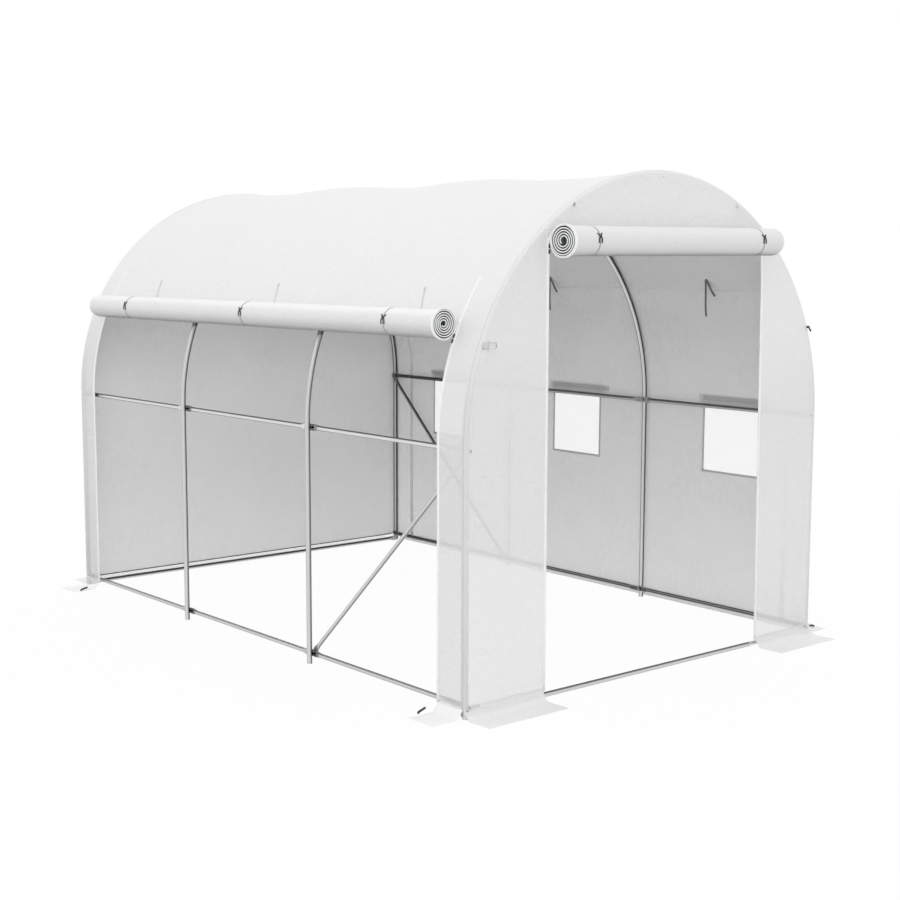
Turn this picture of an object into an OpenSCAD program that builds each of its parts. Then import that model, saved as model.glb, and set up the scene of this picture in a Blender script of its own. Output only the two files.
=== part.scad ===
/* [Frame] */
// Width between the centres of a hoop's two legs
hoop_w = 1964; // [1700:1:2400]
// Distance from one hoop to the next
bay = 982; // [750:1:1200]
// Height of the straight legs, up to where the arch springs
leg_h = 985; // [850:1:1200]
// Outside diameter of the hoop tubes
hoop_d = 22; // [19:0.5:28]
// Outside diameter of the rails and sills
rail_d = 19; // [15:0.5:24]
// Outside diameter of the diagonal braces
brace_d = 16; // [12:0.5:20]
// How far the side rails lie below the top of the legs
rail_drop = 15; // [14:1:150]

/* [Flattened tube ends] */
// Width of a flattened end
tab_w = 26; // [22:0.5:32]
// Thickness of a flattened end
tab_t = 3; // [2:0.1:4]
// Length of the flat from the bolt to where the tube swells
tab_l = 34; // [28:1:50]
// Length over which the flat swells to the round tube
taper_l = 26; // [15:1:50]
// How far the nose of a flat stays inside the hoop's outline
nose_inset = 1; // [0.5:0.1:3]
// Play between flats that share a bolt, and under the lowest one
stack_play = 0.3; // [0.2:0.05:0.6]
// Height of the end sills' lower edge above the ground
foot_rise = 0.5; // [0.5:0.5:10]
// Height between the end sills' flats and the side sills' flats
sill_step = 1.5; // [1:0.5:20]

/* [Cover] */
// Thickness of the cover sheet with its hems
cover_t = 2; // [1:0.1:3]
// Play between the hoops and the cover
cover_play = 0.3; // [0.2:0.05:1]
// Angle above the springing at which the roof ends and the sides begin
eave_a = 31; // [26:0.5:45]
// Angle above the springing at which the roof ends behind the rolled-up side
tuck_a = 25.5; // [25:0.1:26]
// Width of the fixed strips beside the end hoops
strip_w = 150; // [80:1:300]
// Width of the doorway in the front
door_w = 1210; // [800:1:1300]
// How far the gable hangs down into the doorway, behind the rolled-up door
gable_drop = 40; // [20:1:50]
// Width of the skirts that lie on the ground
skirt_w = 140; // [80:1:250]

/* [Rolled sheets] */
// Diameter of the rolled-up door
door_roll_d = 114; // [90:1:130]
// Turns in the rolled-up door
door_roll_turns = 6; // [3:0.5:7]
// How far the door roll's centre hangs below the top of the doorway
door_roll_drop = 70; // [60:1:90]
// How much shorter the rolled-up door is than the doorway is wide
door_roll_short = 19; // [0:1:60]
// How far the rolled-up door sits to the right of the doorway's middle
door_roll_shift = 11; // [-20:1:20]
// Diameter of the rolled-up side
side_roll_d = 108; // [90:1:120]
// Turns in the rolled-up side
side_roll_turns = 5.5; // [3:0.5:6]
// Angle above the springing of the side roll's centre
side_roll_a = 23.5; // [23:0.5:24]
// How much shorter the rolled-up side is than its opening, at the front end
side_roll_short = 24; // [0:1:60]
// Turns that lie close together on the outside of a roll
tight_turns = 1.25; // [1:0.05:1.5]
// Radius of the hollow at the heart of a roll
roll_core_r = 8; // [6:0.5:15]
// Play round the rolls
roll_play = 0.3; // [0.2:0.05:1]
// Play between a roll's hem and the edge that it hangs from
hem_play = 0.9; // [0.9:0.05:2]
// Width of the ties
tie_w = 20; // [10:1:30]
// Thickness of the ties
tie_t = 2; // [1:0.1:3]
// Distance of a door tie from the middle of the doorway
door_tie_x = 465; // [300:1:540]
// How far the door's ties sit to the right of the doorway's middle
door_tie_shift = 12; // [-20:1:20]
// How much further apart the ties of a side are than the bays
tie_extra = 14; // [0:1:30]
// Angle above the springing at which the side ties are sewn on
tie_top_a = 34; // [32:0.5:50]
// Angle above the springing that the loose ties outside hang down to
tie_foot_a = 22; // [15:0.5:28]
// Length of the loose ties that hang inside
loose_tie_l = 165; // [80:1:250]

/* [Windows] */
// Width of a window
window_w = 330; // [200:1:420]
// Height of a window
window_h = 310; // [200:1:400]
// Distance of a window's head below the top of the legs
window_drop = 12; // [10:1:200]
// How far the windows sit in front of the middle of their bays
window_shift = 26; // [0:1:60]
// Thickness of the insect net
net_t = 1; // [0.5:0.1:2]
// Length of a rolled window flap
flap_l = 370; // [250:1:500]
// Diameter of a rolled window flap
flap_d = 40; // [36:1:60]
// Turns in a rolled window flap
flap_turns = 2.5; // [1.5:0.5:3]
// Height of a flap's hem above its roll's centre
flap_hang = 24; // [22:1:60]

/* [Pegs] */
// Diameter of the peg's rod
peg_d = 6; // [4:0.5:8]
// Length of the peg's arm
peg_arm = 45; // [30:1:80]
// Radius of the bend that leads down to the ground
peg_bend = 14; // [6:0.5:18]
// Distance of a peg from the strip's free edge
peg_inset = 20; // [10:1:60]
// Distance of a peg's bend from the edge of its skirt
peg_edge = 27; // [25:1:60]

/* [Hidden] */
HOOPS = ["front_hoop", "second_hoop", "third_hoop", "back_hoop"];
$fn = 64;

bays = len(HOOPS) - 1;
arch_r = hoop_w / 2;
end_y = bays * bay / 2;
function hoop_y(i) = i * bay - end_y;
function bay_y(i) = hoop_y(i) + bay / 2;
function tie_y(i) = bay_y(i) + (i - (bays - 1) / 2) * tie_extra;
function window_y(i) = bay_y(i) - window_shift;

tab_nose = hoop_d / 2 - nose_inset;
level_step = tab_t + stack_play;
function level_x(level) = stack_play + level * level_step;
rail_z = leg_h - rail_drop;
end_sill_z = foot_rise + tab_w / 2;
side_sill_z = end_sill_z + tab_w + sill_step;
brace_rise = rail_z - side_sill_z;
brace_l = sqrt(bay * bay + brace_rise * brace_rise);
brace_slope = atan(brace_rise / bay);
facets = 32;
arch_facets = 256;
joint_t = 1;

cover_in = arch_r + hoop_d / 2 + cover_play;
cover_out = cover_in + cover_t;
end_in = end_y + hoop_d / 2 + cover_play;
end_out = end_in + cover_t;
side_end = end_in - strip_w;
gable_z = leg_h + sqrt(cover_in * cover_in - door_w * door_w / 4);

// Direction from a roll's centre to where the sheet from its hem meets the roll
function lead_angle(r, hem) = atan2(hem.y, hem.x) + acos((r - cover_t / 2) / norm(hem));

door_roll_r = door_roll_d / 2;
door_roll_z = gable_z - door_roll_drop;
door_roll_out = door_roll_r + roll_play;
door_hem = [-door_roll_out - cover_t / 2, door_roll_drop - gable_drop - hem_play - cover_t / 2];
door_roll_l = door_w - door_roll_short;

side_roll_r = side_roll_d / 2;
side_roll_at = arch_r + hoop_d / 2 + side_roll_r + roll_play;
side_roll_x = side_roll_at * cos(side_roll_a);
side_roll_z = leg_h + side_roll_at * sin(side_roll_a);
side_roll_l = 2 * (side_end - roll_play) - side_roll_short;
side_hem_r = cover_in + cover_t / 2;
side_hem_a = tuck_a - (hem_play + cover_t / 2) / side_hem_r * 180 / PI;
side_hem = [
  side_hem_r * cos(side_hem_a) - side_roll_x,
  leg_h + side_hem_r * sin(side_hem_a) - side_roll_z
];

window_top = leg_h - window_drop;
flap_r = flap_d / 2;
flap_x = cover_out + flap_r + roll_play;
flap_z = window_top + flap_r;
flap_hem_h = flap_z + flap_hang - leg_h;
flap_seat = [sqrt(cover_out * cover_out - flap_hem_h * flap_hem_h) - flap_x + roll_play, flap_hang];
flap_hem = flap_seat - [cover_t / 2 * cos(lead_angle(flap_r, flap_seat)), 0];

module steel() {
  color([0.66, 0.67, 0.68]) children();
}

module sheet() {
  color([0.94, 0.95, 0.95]) children();
}

module strap() {
  color([0.3, 0.31, 0.32]) children();
}

// The two straight legs of one hoop
module hoop_legs(i) {
  steel() for (side = [-1, 1])
    translate([side * arch_r, hoop_y(i), 0])
      cylinder(d = hoop_d, h = leg_h);
}

// A quarter of a hoop's arch, from angle a0 to the next quadrant
module hoop_arc(i, a0) {
  steel() translate([0, hoop_y(i), leg_h])
    rotate([90, 0, 0])
      rotate([0, 0, a0])
        rotate_extrude(angle = 90)
          translate([arch_r, 0])
            circle(d = hoop_d);
}

// A tube's end hammered flat round its bolt, lying on +X of the hoop's inner face,
// swelling along +Y to the round tube whose axis is at axis_x
module flattened_end(d, level, axis_x) {
  nose_y = tab_w / 2 - tab_nose;
  translate([level_x(level), 0, 0])
    rotate([0, 90, 0])
      linear_extrude(tab_t) {
        translate([0, nose_y]) circle(d = tab_w);
        translate([-tab_w / 2, nose_y]) square([tab_w, tab_l - nose_y]);
      }
  hull() {
    translate([level_x(level), tab_l - joint_t, -tab_w / 2])
      cube([tab_t, joint_t, tab_w]);
    translate([axis_x, tab_l + taper_l, 0])
      rotate([90, 0, 0])
        cylinder(d = d, h = joint_t, $fn = facets);
  }
}

// A tube between two bolts, with both ends flattened at their own place in the stack
module flattened_tube(length, d, level_a, level_b) {
  axis_x = (level_x(level_a) + level_x(level_b) + tab_t) / 2;
  body_l = length - 2 * (tab_l + taper_l);
  steel() {
    flattened_end(d, level_a, axis_x);
    translate([0, length, 0]) mirror([0, 1, 0]) flattened_end(d, level_b, axis_x);
    translate([axis_x, tab_l + taper_l + body_l, 0])
      rotate([90, 0, 0])
        cylinder(d = d, h = body_l);
  }
}

// A line of tubes from the front hoop to the back hoop, each lapping on the next one's flat
module tube_run() {
  for (i = [0 : bays - 1])
    translate([0, hoop_y(i), 0])
      flattened_tube(bay, rail_d, 0, i < bays - 1 ? 1 : 0);
}

module side_run(z) {
  translate([hoop_d / 2 - arch_r, 0, z]) tube_run();
}

module ridge_run() {
  translate([0, 0, leg_h + arch_r - hoop_d / 2]) rotate([0, 90, 0]) tube_run();
}

// The cross tube at the foot of the back hoop
module end_sill() {
  translate([-arch_r, end_y - hoop_d / 2, end_sill_z])
    rotate([0, 0, -90])
      flattened_tube(hoop_w, rail_d, 0, 0);
}

// The diagonal from the front hoop's rail bolt down to the second hoop's sill bolt
module side_brace() {
  translate([hoop_d / 2 - arch_r, hoop_y(0), rail_z])
    rotate([-brace_slope, 0, 0])
      flattened_tube(brace_l, brace_d, 1, 2);
}

// A band of sheet bent round the tunnel's axis, from angle a0 to a1 and from y0 to y1
module arc_band(r, t, a0, a1, y0, y1) {
  translate([0, y1, leg_h])
    rotate([90, 0, 0])
      rotate([0, 0, a0])
        rotate_extrude(angle = a1 - a0)
          translate([r, 0])
            square([t, y1 - y0]);
}

// The side of the cover on +X: flat up to the springing, then curved up to the eave
module side_sheet(y0, y1) {
  translate([cover_in, y0, 0]) cube([cover_t, y1 - y0, leg_h]);
  arc_band(cover_in, cover_t, 0, eave_a, y0, y1);
}

module front_strip() {
  sheet() side_sheet(-end_in, -side_end);
}

module back_strip() {
  sheet() side_sheet(side_end, end_in);
}

module window_box(t) {
  for (i = [0 : bays - 1])
    translate([cover_in + (cover_t - t) / 2, window_y(i) - window_w / 2, window_top - window_h])
      cube([t, window_w, window_h]);
}

// The closed side, zipped between its two strips, with a window cut in each bay
module right_side_panel() {
  sheet() difference() {
    side_sheet(-side_end, side_end);
    window_box(2 * cover_t);
  }
}

module window_nets() {
  color([0.86, 0.87, 0.87]) window_box(net_t);
}

// Outline of an end wall
module arch_outline() {
  intersection() {
    translate([0, leg_h]) circle(r = cover_out, $fn = arch_facets);
    translate([-cover_out, 0]) square([2 * cover_out, leg_h + cover_out]);
  }
  translate([-cover_out, 0]) square([2 * cover_out, leg_h]);
}

// An end wall's sheet, its outer face at y
module end_sheet(y) {
  sheet() translate([0, y, 0]) rotate([90, 0, 0]) linear_extrude(cover_t) children();
}

module front_left_panel() {
  end_sheet(-end_in) intersection() {
    arch_outline();
    translate([-cover_out, 0]) square([cover_out - door_w / 2, gable_z]);
  }
}

module front_gable() {
  foot_w = door_w - 2 * roll_play;
  end_sheet(-end_in) {
    intersection() {
      arch_outline();
      translate([-cover_out, gable_z]) square([2 * cover_out, cover_out]);
    }
    translate([-foot_w / 2, gable_z - gable_drop]) square([foot_w, gable_drop + joint_t]);
  }
}

// The roof from the ridge down to the eave, and between the strips on down behind the rolled-up side
module roof_left_slope() {
  sheet() difference() {
    arc_band(cover_in, cover_t, 90, 180 - tuck_a, -end_in, end_in);
    for (side = [0, 1])
      mirror([0, side, 0])
        arc_band(cover_in - cover_t, 3 * cover_t, 180 - eave_a, 190 - eave_a, side_end - roll_play, end_out);
  }
}

module back_wall() {
  end_sheet(end_out) arch_outline();
}

// Section of a sheet that hangs from its hem behind the roll, passes under it and winds in to the core;
// the hem is given from the roll's centre, with the outside of the tunnel on +X
module wound_section(r, turns, hem) {
  steps = 24;
  tight_pitch = cover_t + roll_play;
  pitch = (r - roll_core_r - tight_turns * tight_pitch) / (turns - tight_turns);
  start_a = lead_angle(r, hem);
  out = [cos(start_a), sin(start_a)];
  count = floor(turns * steps);
  function depth(turn) = tight_pitch * min(turn, tight_turns) + pitch * max(turn - tight_turns, 0);
  function wind(k, inset) =
    (r - inset - depth(k / steps))
    * [cos(start_a + 360 * k / steps), sin(start_a + 360 * k / steps)];
  polygon(concat(
    [hem + out * cover_t / 2],
    [for (k = [0 : count]) wind(k, 0)],
    [for (k = [count : -1 : 0]) wind(k, cover_t)],
    [hem - out * cover_t / 2]
  ));
}

// A rolled sheet along Y, centred, with the outside of the tunnel on +X
module rolled_sheet(r, turns, hem, length) {
  sheet() translate([0, length / 2, 0])
    rotate([90, 0, 0])
      linear_extrude(length) wound_section(r, turns, hem);
}

// A tie passed under a roll from behind it and up over its outside
module roll_tie(r) {
  tie_from = -150;
  tie_sweep = 230;
  strap() translate([0, tie_w / 2, 0])
    rotate([90, 0, 0])
      rotate([0, 0, tie_from])
        rotate_extrude(angle = tie_sweep)
          translate([r + roll_play, 0])
            square([tie_t, tie_w]);
}

module at_side_roll() {
  mirror([1, 0, 0]) translate([side_roll_x, 0, side_roll_z]) children();
}

module at_door_roll() {
  translate([0, -end_out - door_roll_out, door_roll_z])
    rotate([0, 0, -90]) children();
}

module left_side_roll() {
  translate([0, side_roll_short / 2, 0])
    at_side_roll() rolled_sheet(side_roll_r, side_roll_turns, side_hem, side_roll_l);
}

module side_roll_ties() {
  for (i = [0 : bays - 1])
    translate([0, tie_y(i), 0]) at_side_roll() roll_tie(side_roll_r);
}

module door_roll() {
  translate([door_roll_shift, 0, 0])
    at_door_roll() rolled_sheet(door_roll_r, door_roll_turns, door_hem, door_roll_l);
}

module door_roll_ties() {
  for (side = [-1, 1])
    translate([side * door_tie_x + door_tie_shift, 0, 0]) at_door_roll() roll_tie(door_roll_r);
}

module window_flap_rolls() {
  for (i = [0 : bays - 1])
    translate([flap_x, window_y(i), flap_z]) rolled_sheet(flap_r, flap_turns, flap_hem, flap_l);
}

// The loose ties of the closed side, one hanging inside and one lying on the sheet outside in each bay
module right_tie_straps() {
  top = (cover_in - roll_play) * [cos(tie_top_a), sin(tie_top_a)];
  strap() for (i = [0 : bays - 1]) {
    arc_band(cover_out + roll_play, tie_t, tie_foot_a, tie_top_a, tie_y(i) - tie_w / 2, tie_y(i) + tie_w / 2);
    translate([top.x - tie_t, tie_y(i) - tie_w / 2, leg_h + top.y - loose_tie_l])
      cube([tie_t, tie_w, loose_tie_l]);
  }
}

// A skirt that lies on the ground outside the side wall on +X
module side_skirt(y0, y1) {
  sheet() translate([cover_out, y0, 0]) cube([skirt_w, y1 - y0, cover_t]);
}

// A skirt that lies on the ground behind the back wall
module end_skirt(x0, x1) {
  sheet() translate([x0, end_out, 0]) cube([x1 - x0, skirt_w, cover_t]);
}

module front_skirts() {
  rotate([0, 0, 180]) {
    end_skirt(-cover_out, -door_w / 2);
    end_skirt(door_w / 2, cover_out);
  }
}

module left_skirts() {
  mirror([1, 0, 0]) {
    side_skirt(-end_in, -side_end);
    side_skirt(side_end, end_in);
  }
}

// The bent head of a peg driven through a skirt, its shank ending at the sheet
module peg() {
  color([0.16, 0.16, 0.17]) rotate([90, 0, 0]) {
    rotate_extrude(angle = 90) translate([peg_bend, 0]) circle(d = peg_d);
    translate([0, peg_bend, 0]) rotate([0, -90, 0]) cylinder(d = peg_d, h = peg_arm);
  }
}

module skirt_pegs() {
  for (sx = [0, 1], sy = [0, 1])
    mirror([sx, 0, 0]) mirror([0, sy, 0])
      translate([cover_out + skirt_w - peg_edge, side_end + peg_inset, cover_t]) peg();
}

for (i = [0 : bays]) {
  hoop_legs(i);
  hoop_arc(i, 90);
  hoop_arc(i, 0);
}
side_run(rail_z);  // left_rails
rotate([0, 0, 180]) side_run(rail_z);  // right_rails
ridge_run();  // ridge_rails
side_run(side_sill_z);  // left_sills
rotate([0, 0, 180]) side_run(side_sill_z);  // right_sills
rotate([0, 0, 180]) end_sill();  // front_sill
end_sill();  // back_sill
side_brace();  // left_brace
rotate([0, 0, 180]) side_brace();  // right_brace
roof_left_slope();
sheet() arc_band(cover_in, cover_t, eave_a, 90, -end_in, end_in);  // roof_right_slope
mirror([1, 0, 0]) front_strip();  // left_front_strip
mirror([1, 0, 0]) back_strip();  // left_back_strip
front_strip();  // right_front_strip
back_strip();  // right_back_strip
right_side_panel();
window_nets();
window_flap_rolls();
front_left_panel();
mirror([1, 0, 0]) front_left_panel();  // front_right_panel
front_gable();
back_wall();
left_side_roll();
side_roll_ties();
door_roll();
door_roll_ties();
right_tie_straps();
front_skirts();
left_skirts();
side_skirt(-end_in, end_in);  // right_skirt
end_skirt(-cover_out, cover_out);  // back_skirt
skirt_pegs();
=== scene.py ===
import math

import bmesh
import bpy
import numpy as np
from mathutils import Matrix, Vector, noise


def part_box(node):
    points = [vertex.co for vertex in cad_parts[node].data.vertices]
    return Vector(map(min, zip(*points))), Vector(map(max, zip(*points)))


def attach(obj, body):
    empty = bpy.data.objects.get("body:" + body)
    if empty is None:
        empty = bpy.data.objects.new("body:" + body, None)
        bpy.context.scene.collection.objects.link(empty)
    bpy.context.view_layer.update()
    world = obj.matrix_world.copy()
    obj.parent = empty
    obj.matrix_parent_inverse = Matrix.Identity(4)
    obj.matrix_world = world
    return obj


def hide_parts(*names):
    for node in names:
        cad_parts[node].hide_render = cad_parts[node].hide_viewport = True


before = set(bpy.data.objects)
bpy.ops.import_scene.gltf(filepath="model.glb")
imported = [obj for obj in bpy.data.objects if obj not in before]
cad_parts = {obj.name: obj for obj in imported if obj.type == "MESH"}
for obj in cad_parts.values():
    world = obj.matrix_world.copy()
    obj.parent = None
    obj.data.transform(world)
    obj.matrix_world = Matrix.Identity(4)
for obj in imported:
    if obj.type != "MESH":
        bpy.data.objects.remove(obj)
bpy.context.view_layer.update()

# The studio: a white room with an even light from all sides and one broad soft lamp overhead.
# The floor is pale and matt, shows white from above and still takes the tunnel's soft shadow.
scene = bpy.context.scene
scene.view_settings.view_transform = "Standard"
WHITE = (1, 1, 1, 1)
ROOM_LIGHT = 0.95
FLOOR_COLOUR = (0.86, 0.86, 0.86, 1)
FLOOR_RADIUS = 60
FLOOR_DROP = 0.0006
# Share of the floor's white that no shadow reaches, beside the tunnel and far from it
NEAR_WHITE, FAR_WHITE = 0.965, 1.0
NEAR_EDGE, FAR_EDGE = 2.0, 5.0


def add_node(tree, kind, inputs=None, **settings):
    """A node with its settings, and with its inputs set to values or linked to sockets."""
    node = tree.nodes.new(kind)
    for name, value in settings.items():
        setattr(node, name, value)
    for name, value in (inputs or {}).items():
        if isinstance(value, bpy.types.NodeSocket):
            tree.links.new(value, node.inputs[name])
        else:
            node.inputs[name].default_value = value
    return node


def calc(tree, operation, first, second=0.0):
    """What a math node makes of two values or sockets."""
    return add_node(tree, "ShaderNodeMath", {0: first, 1: second}, operation=operation).outputs[0]


def seen_directly(tree):
    """1 for what the camera sees, straight, in metal or through the sheet, and 0 for light."""
    path = add_node(tree, "ShaderNodeLightPath").outputs
    straight = calc(tree, "MAXIMUM", path["Is Camera Ray"], path["Is Glossy Ray"])
    return calc(tree, "MAXIMUM", straight, path["Is Transmission Ray"])


world = bpy.data.worlds.new("white_room")
scene.world = world
world.use_nodes = True
room = world.node_tree
room.nodes.clear()
lit = add_node(room, "ShaderNodeBackground", {"Color": WHITE, "Strength": ROOM_LIGHT})
shown = add_node(room, "ShaderNodeBackground", {"Color": WHITE, "Strength": 1.0})
room_mix = add_node(
    room, "ShaderNodeMixShader",
    {0: seen_directly(room), 1: lit.outputs[0], 2: shown.outputs[0]})
add_node(room, "ShaderNodeOutputWorld", {"Surface": room_mix.outputs[0]})

floor_paint = bpy.data.materials.new("studio_floor")
floor_paint.use_nodes = True
paint = floor_paint.node_tree
paint.nodes.clear()
place = add_node(paint, "ShaderNodeTexCoord")
reach = add_node(paint, "ShaderNodeVectorMath", {0: place.outputs["Object"]}, operation="LENGTH")
share = add_node(paint, "ShaderNodeMapRange", {
    "Value": reach.outputs["Value"], "From Min": NEAR_EDGE, "From Max": FAR_EDGE,
    "To Min": NEAR_WHITE, "To Max": FAR_WHITE})
white_share = calc(paint, "MULTIPLY", share.outputs["Result"], seen_directly(paint))
matt = add_node(paint, "ShaderNodeBsdfDiffuse", {"Color": FLOOR_COLOUR})
glow = add_node(paint, "ShaderNodeEmission", {"Color": WHITE, "Strength": 1.0})
floor_mix = add_node(
    paint, "ShaderNodeMixShader",
    {0: white_share, 1: matt.outputs[0], 2: glow.outputs[0]})
add_node(paint, "ShaderNodeOutputMaterial", {"Surface": floor_mix.outputs[0]})
floor_mesh = bpy.data.meshes.new("studio_floor")
disc = bmesh.new()
bmesh.ops.create_circle(disc, cap_ends=True, segments=96, radius=FLOOR_RADIUS)
bmesh.ops.translate(disc, verts=disc.verts, vec=(0, 0, -FLOOR_DROP))
disc.to_mesh(floor_mesh)
disc.free()
floor_mesh.materials.append(floor_paint)
studio_floor = bpy.data.objects.new("studio_floor", floor_mesh)
scene.collection.objects.link(studio_floor)

LAMP_AT, LAMP_AIM = Vector((-2.0, -1.0, 5.0)), Vector((0, 0, 1))
LAMP_SIZE, LAMP_POWER = (5.0, 6.0), 16
lamp_data = bpy.data.lights.new("overhead_lamp", "AREA")
lamp_data.shape = "RECTANGLE"
lamp_data.size, lamp_data.size_y = LAMP_SIZE
lamp_data.energy = LAMP_POWER
overhead_lamp = bpy.data.objects.new("overhead_lamp", lamp_data)
overhead_lamp.location = LAMP_AT
overhead_lamp.rotation_euler = (LAMP_AIM - LAMP_AT).to_track_quat("-Z", "Y").to_euler()
scene.collection.objects.link(overhead_lamp)

# The camera: at about a person's eye height, in front of the tunnel's left-hand corner,
# turned to the right and tipped down a little.
CAMERA_AT = (-4.4103, -5.5020, 1.6411)
CAMERA_YAW, CAMERA_DOWN, CAMERA_ROLL = 39.779, 7.183, 0.124
CAMERA_LENS, CAMERA_SENSOR = 60.741, 36
camera_data = bpy.data.cameras.new("camera")
camera_data.sensor_width = CAMERA_SENSOR
camera_data.lens = CAMERA_LENS
camera = bpy.data.objects.new("camera", camera_data)
turn = (
    Matrix.Rotation(math.radians(-CAMERA_YAW), 4, "Z")
    @ Matrix.Rotation(math.radians(90 - CAMERA_DOWN), 4, "X")
    @ Matrix.Rotation(math.radians(CAMERA_ROLL), 4, "Z"))
camera.matrix_world = Matrix.Translation(CAMERA_AT) @ turn
scene.collection.objects.link(camera)
scene.camera = camera

# Hoops, rails, sills and braces: thin-walled steel tube, hot-dip galvanised, bent or cut to length,
# with the ends of the straight ones hammered flat round their bolt holes.
HOOPS = ["front_hoop", "second_hoop", "third_hoop", "back_hoop"]
HOOP_PARTS = ("legs", "left_arc", "right_arc")
hoop_y = [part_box(f"{hoop}_legs")[0].y / 2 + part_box(f"{hoop}_legs")[1].y / 2 for hoop in HOOPS]
hoop_lo, hoop_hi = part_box("front_hoop_legs")
hoop_tube_r = (hoop_hi.y - hoop_lo.y) / 2
hoop_r = hoop_hi.x - hoop_tube_r
bay = hoop_y[1] - hoop_y[0]


def new_material(name):
    material = bpy.data.materials.new(name)
    material.use_nodes = True
    return material, material.node_tree, material.node_tree.nodes["Principled BSDF"]


def ramp(tree, fac, stops):
    """A colour ramp with its stops as (position, colour)."""
    node = add_node(tree, "ShaderNodeValToRGB", {"Fac": fac})
    for element, (position, colour) in zip(node.color_ramp.elements, stops):
        element.position = position
        element.color = colour
    return node.outputs["Color"]


def graded(tree, value, stops):
    """A grey that follows a value through stops of (value, level)."""
    low, high = stops[0][0], stops[-1][0]
    spot = add_node(tree, "ShaderNodeMapRange", {"Value": value, "From Min": low, "From Max": high})
    node = add_node(tree, "ShaderNodeValToRGB", {"Fac": spot.outputs["Result"]})
    band = node.color_ramp.elements
    while len(band) < len(stops):
        band.new(0.5)
    for element, (position, level) in zip(band, stops):
        element.position = (position - low) / (high - low)
        element.color = (level, level, level, 1)
    return node.outputs["Color"]


def mixed(tree, factor, first, second):
    node = add_node(tree, "ShaderNodeMix", {0: factor, 6: first, 7: second}, data_type="RGBA")
    return node.outputs[2]


def middle_z(node):
    lo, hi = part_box(node)
    return (lo.z + hi.z) / 2


rail_z, side_sill_z, end_sill_z = (middle_z(n) for n in ("left_rails", "left_sills", "front_sill"))
# The hammered ends, painted grey as shade: how far they reach from a hoop, the tube's half height, and the
# pit at the bolt, painted near black as shade
FLAT_REACH, FLAT_HALF, PIT_REACH, PIT_HALF = 0.06, 0.0095, 0.014, 0.0042
FLAT_SHADE_GREY, PIT_SHADE_DARK = (0.42, 0.42, 0.42, 1), (0.03, 0.031, 0.032, 1)
# The zinc's crystals, and the range of its polish
SPANGLE_SCALE, SPANGLE_SHARE = 260.0, 0.07
BRIGHTEST, DULLEST = 0.30, 0.42


def zinc_material(name, across, bands, *past, level=None, shaded_pit=False):
    """Bright zinc, with the room's reflections painted into its colour as light and dark bands along the
    tube.

    Past a place on an axis the bands may differ, and at that level the hammered flat ends by the hoops and
    the pit at the bolt get painted shade.
    """
    material, tree, shader = new_material(name)
    place = add_node(tree, "ShaderNodeTexCoord")
    spot = add_node(tree, "ShaderNodeSeparateXYZ", {"Vector": place.outputs["Object"]}).outputs
    turned = add_node(
        tree, "ShaderNodeVectorMath", {0: place.outputs["Normal"], 1: across}, operation="DOT_PRODUCT")
    tone = graded(tree, turned.outputs["Value"], bands)
    for axis, start, other_bands in past:
        beyond = calc(tree, "GREATER_THAN", spot[axis], start)
        tone = mixed(tree, beyond, tone, graded(tree, turned.outputs["Value"], other_bands))
    if level is not None:
        # Painted shade on the flat ends by the hoops, beyond the tube's half height
        off_hoop = calc(tree, "PINGPONG", calc(tree, "SUBTRACT", spot["Y"], hoop_y[0]), bay)
        nearest = calc(tree, "PINGPONG", off_hoop, bay / 2)
        off_line = calc(tree, "ABSOLUTE", calc(tree, "SUBTRACT", spot["Z"], level))
        by_hoop = calc(tree, "LESS_THAN", nearest, FLAT_REACH)
        wide = calc(tree, "GREATER_THAN", off_line, FLAT_HALF)
        tone = mixed(tree, calc(tree, "MULTIPLY", by_hoop, wide), tone, FLAT_SHADE_GREY)
    # Painted shade, near black, in the pit at the bolt
    if shaded_pit:
        at_bolt = calc(tree, "LESS_THAN", nearest, PIT_REACH + hoop_tube_r)
        narrow = calc(tree, "LESS_THAN", off_line, PIT_HALF)
        tone = mixed(tree, calc(tree, "MULTIPLY", at_bolt, narrow), tone, PIT_SHADE_DARK)
    spangle = add_node(
        tree, "ShaderNodeTexVoronoi", {"Vector": place.outputs["Object"], "Scale": SPANGLE_SCALE})
    mottled = add_node(
        tree, "ShaderNodeMix", {0: SPANGLE_SHARE, 6: tone, 7: spangle.outputs["Color"]},
        data_type="RGBA", blend_type="SOFT_LIGHT")
    tree.links.new(mottled.outputs[2], shader.inputs["Base Color"])
    cloud = add_node(
        tree, "ShaderNodeTexNoise", {"Vector": place.outputs["Object"], "Scale": 9.0, "Detail": 3.0})
    dull = add_node(tree, "ShaderNodeMapRange", {
        "Value": cloud.outputs["Fac"], "From Min": 0.3, "From Max": 0.7,
        "To Min": BRIGHTEST, "To Max": DULLEST})
    tree.links.new(dull.outputs["Result"], shader.inputs["Roughness"])
    shader.inputs["Metallic"].default_value = 1.0
    return material


# Painted reflections and shade: bands of light and dark round each tube, set for each group of tubes and
# darker past places where it stands in shade, as (how far its surface turns that way, level)
SIDEWAYS, UPWARDS = (0.768, -0.640, 0.0), (0.0, 0.0, 1.0)
LEFT_LEGS = [(-1, 0.46), (-0.8, 0.54), (-0.5, 0.66), (0.2, 0.66), (0.5, 0.48), (0.72, 0.17), (1, 0.14)]
UNDER_ROLL = [(-1, 0.1), (-0.6, 0.12), (-0.3, 0.5), (0.1, 0.5), (0.3, 0.1), (1, 0.08)]
RIGHT_LEGS = [
    (-1, 0.3), (-0.8, 0.32), (-0.6, 0.66), (0.3, 0.62), (0.5, 0.09), (0.84, 0.06), (0.93, 0.36), (1, 0.42)]
BACK_HOOP = [(-1, 0.15), (-0.7, 0.18), (-0.45, 0.42), (0.1, 0.46), (0.45, 0.11), (0.8, 0.07), (1, 0.15)]
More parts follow.
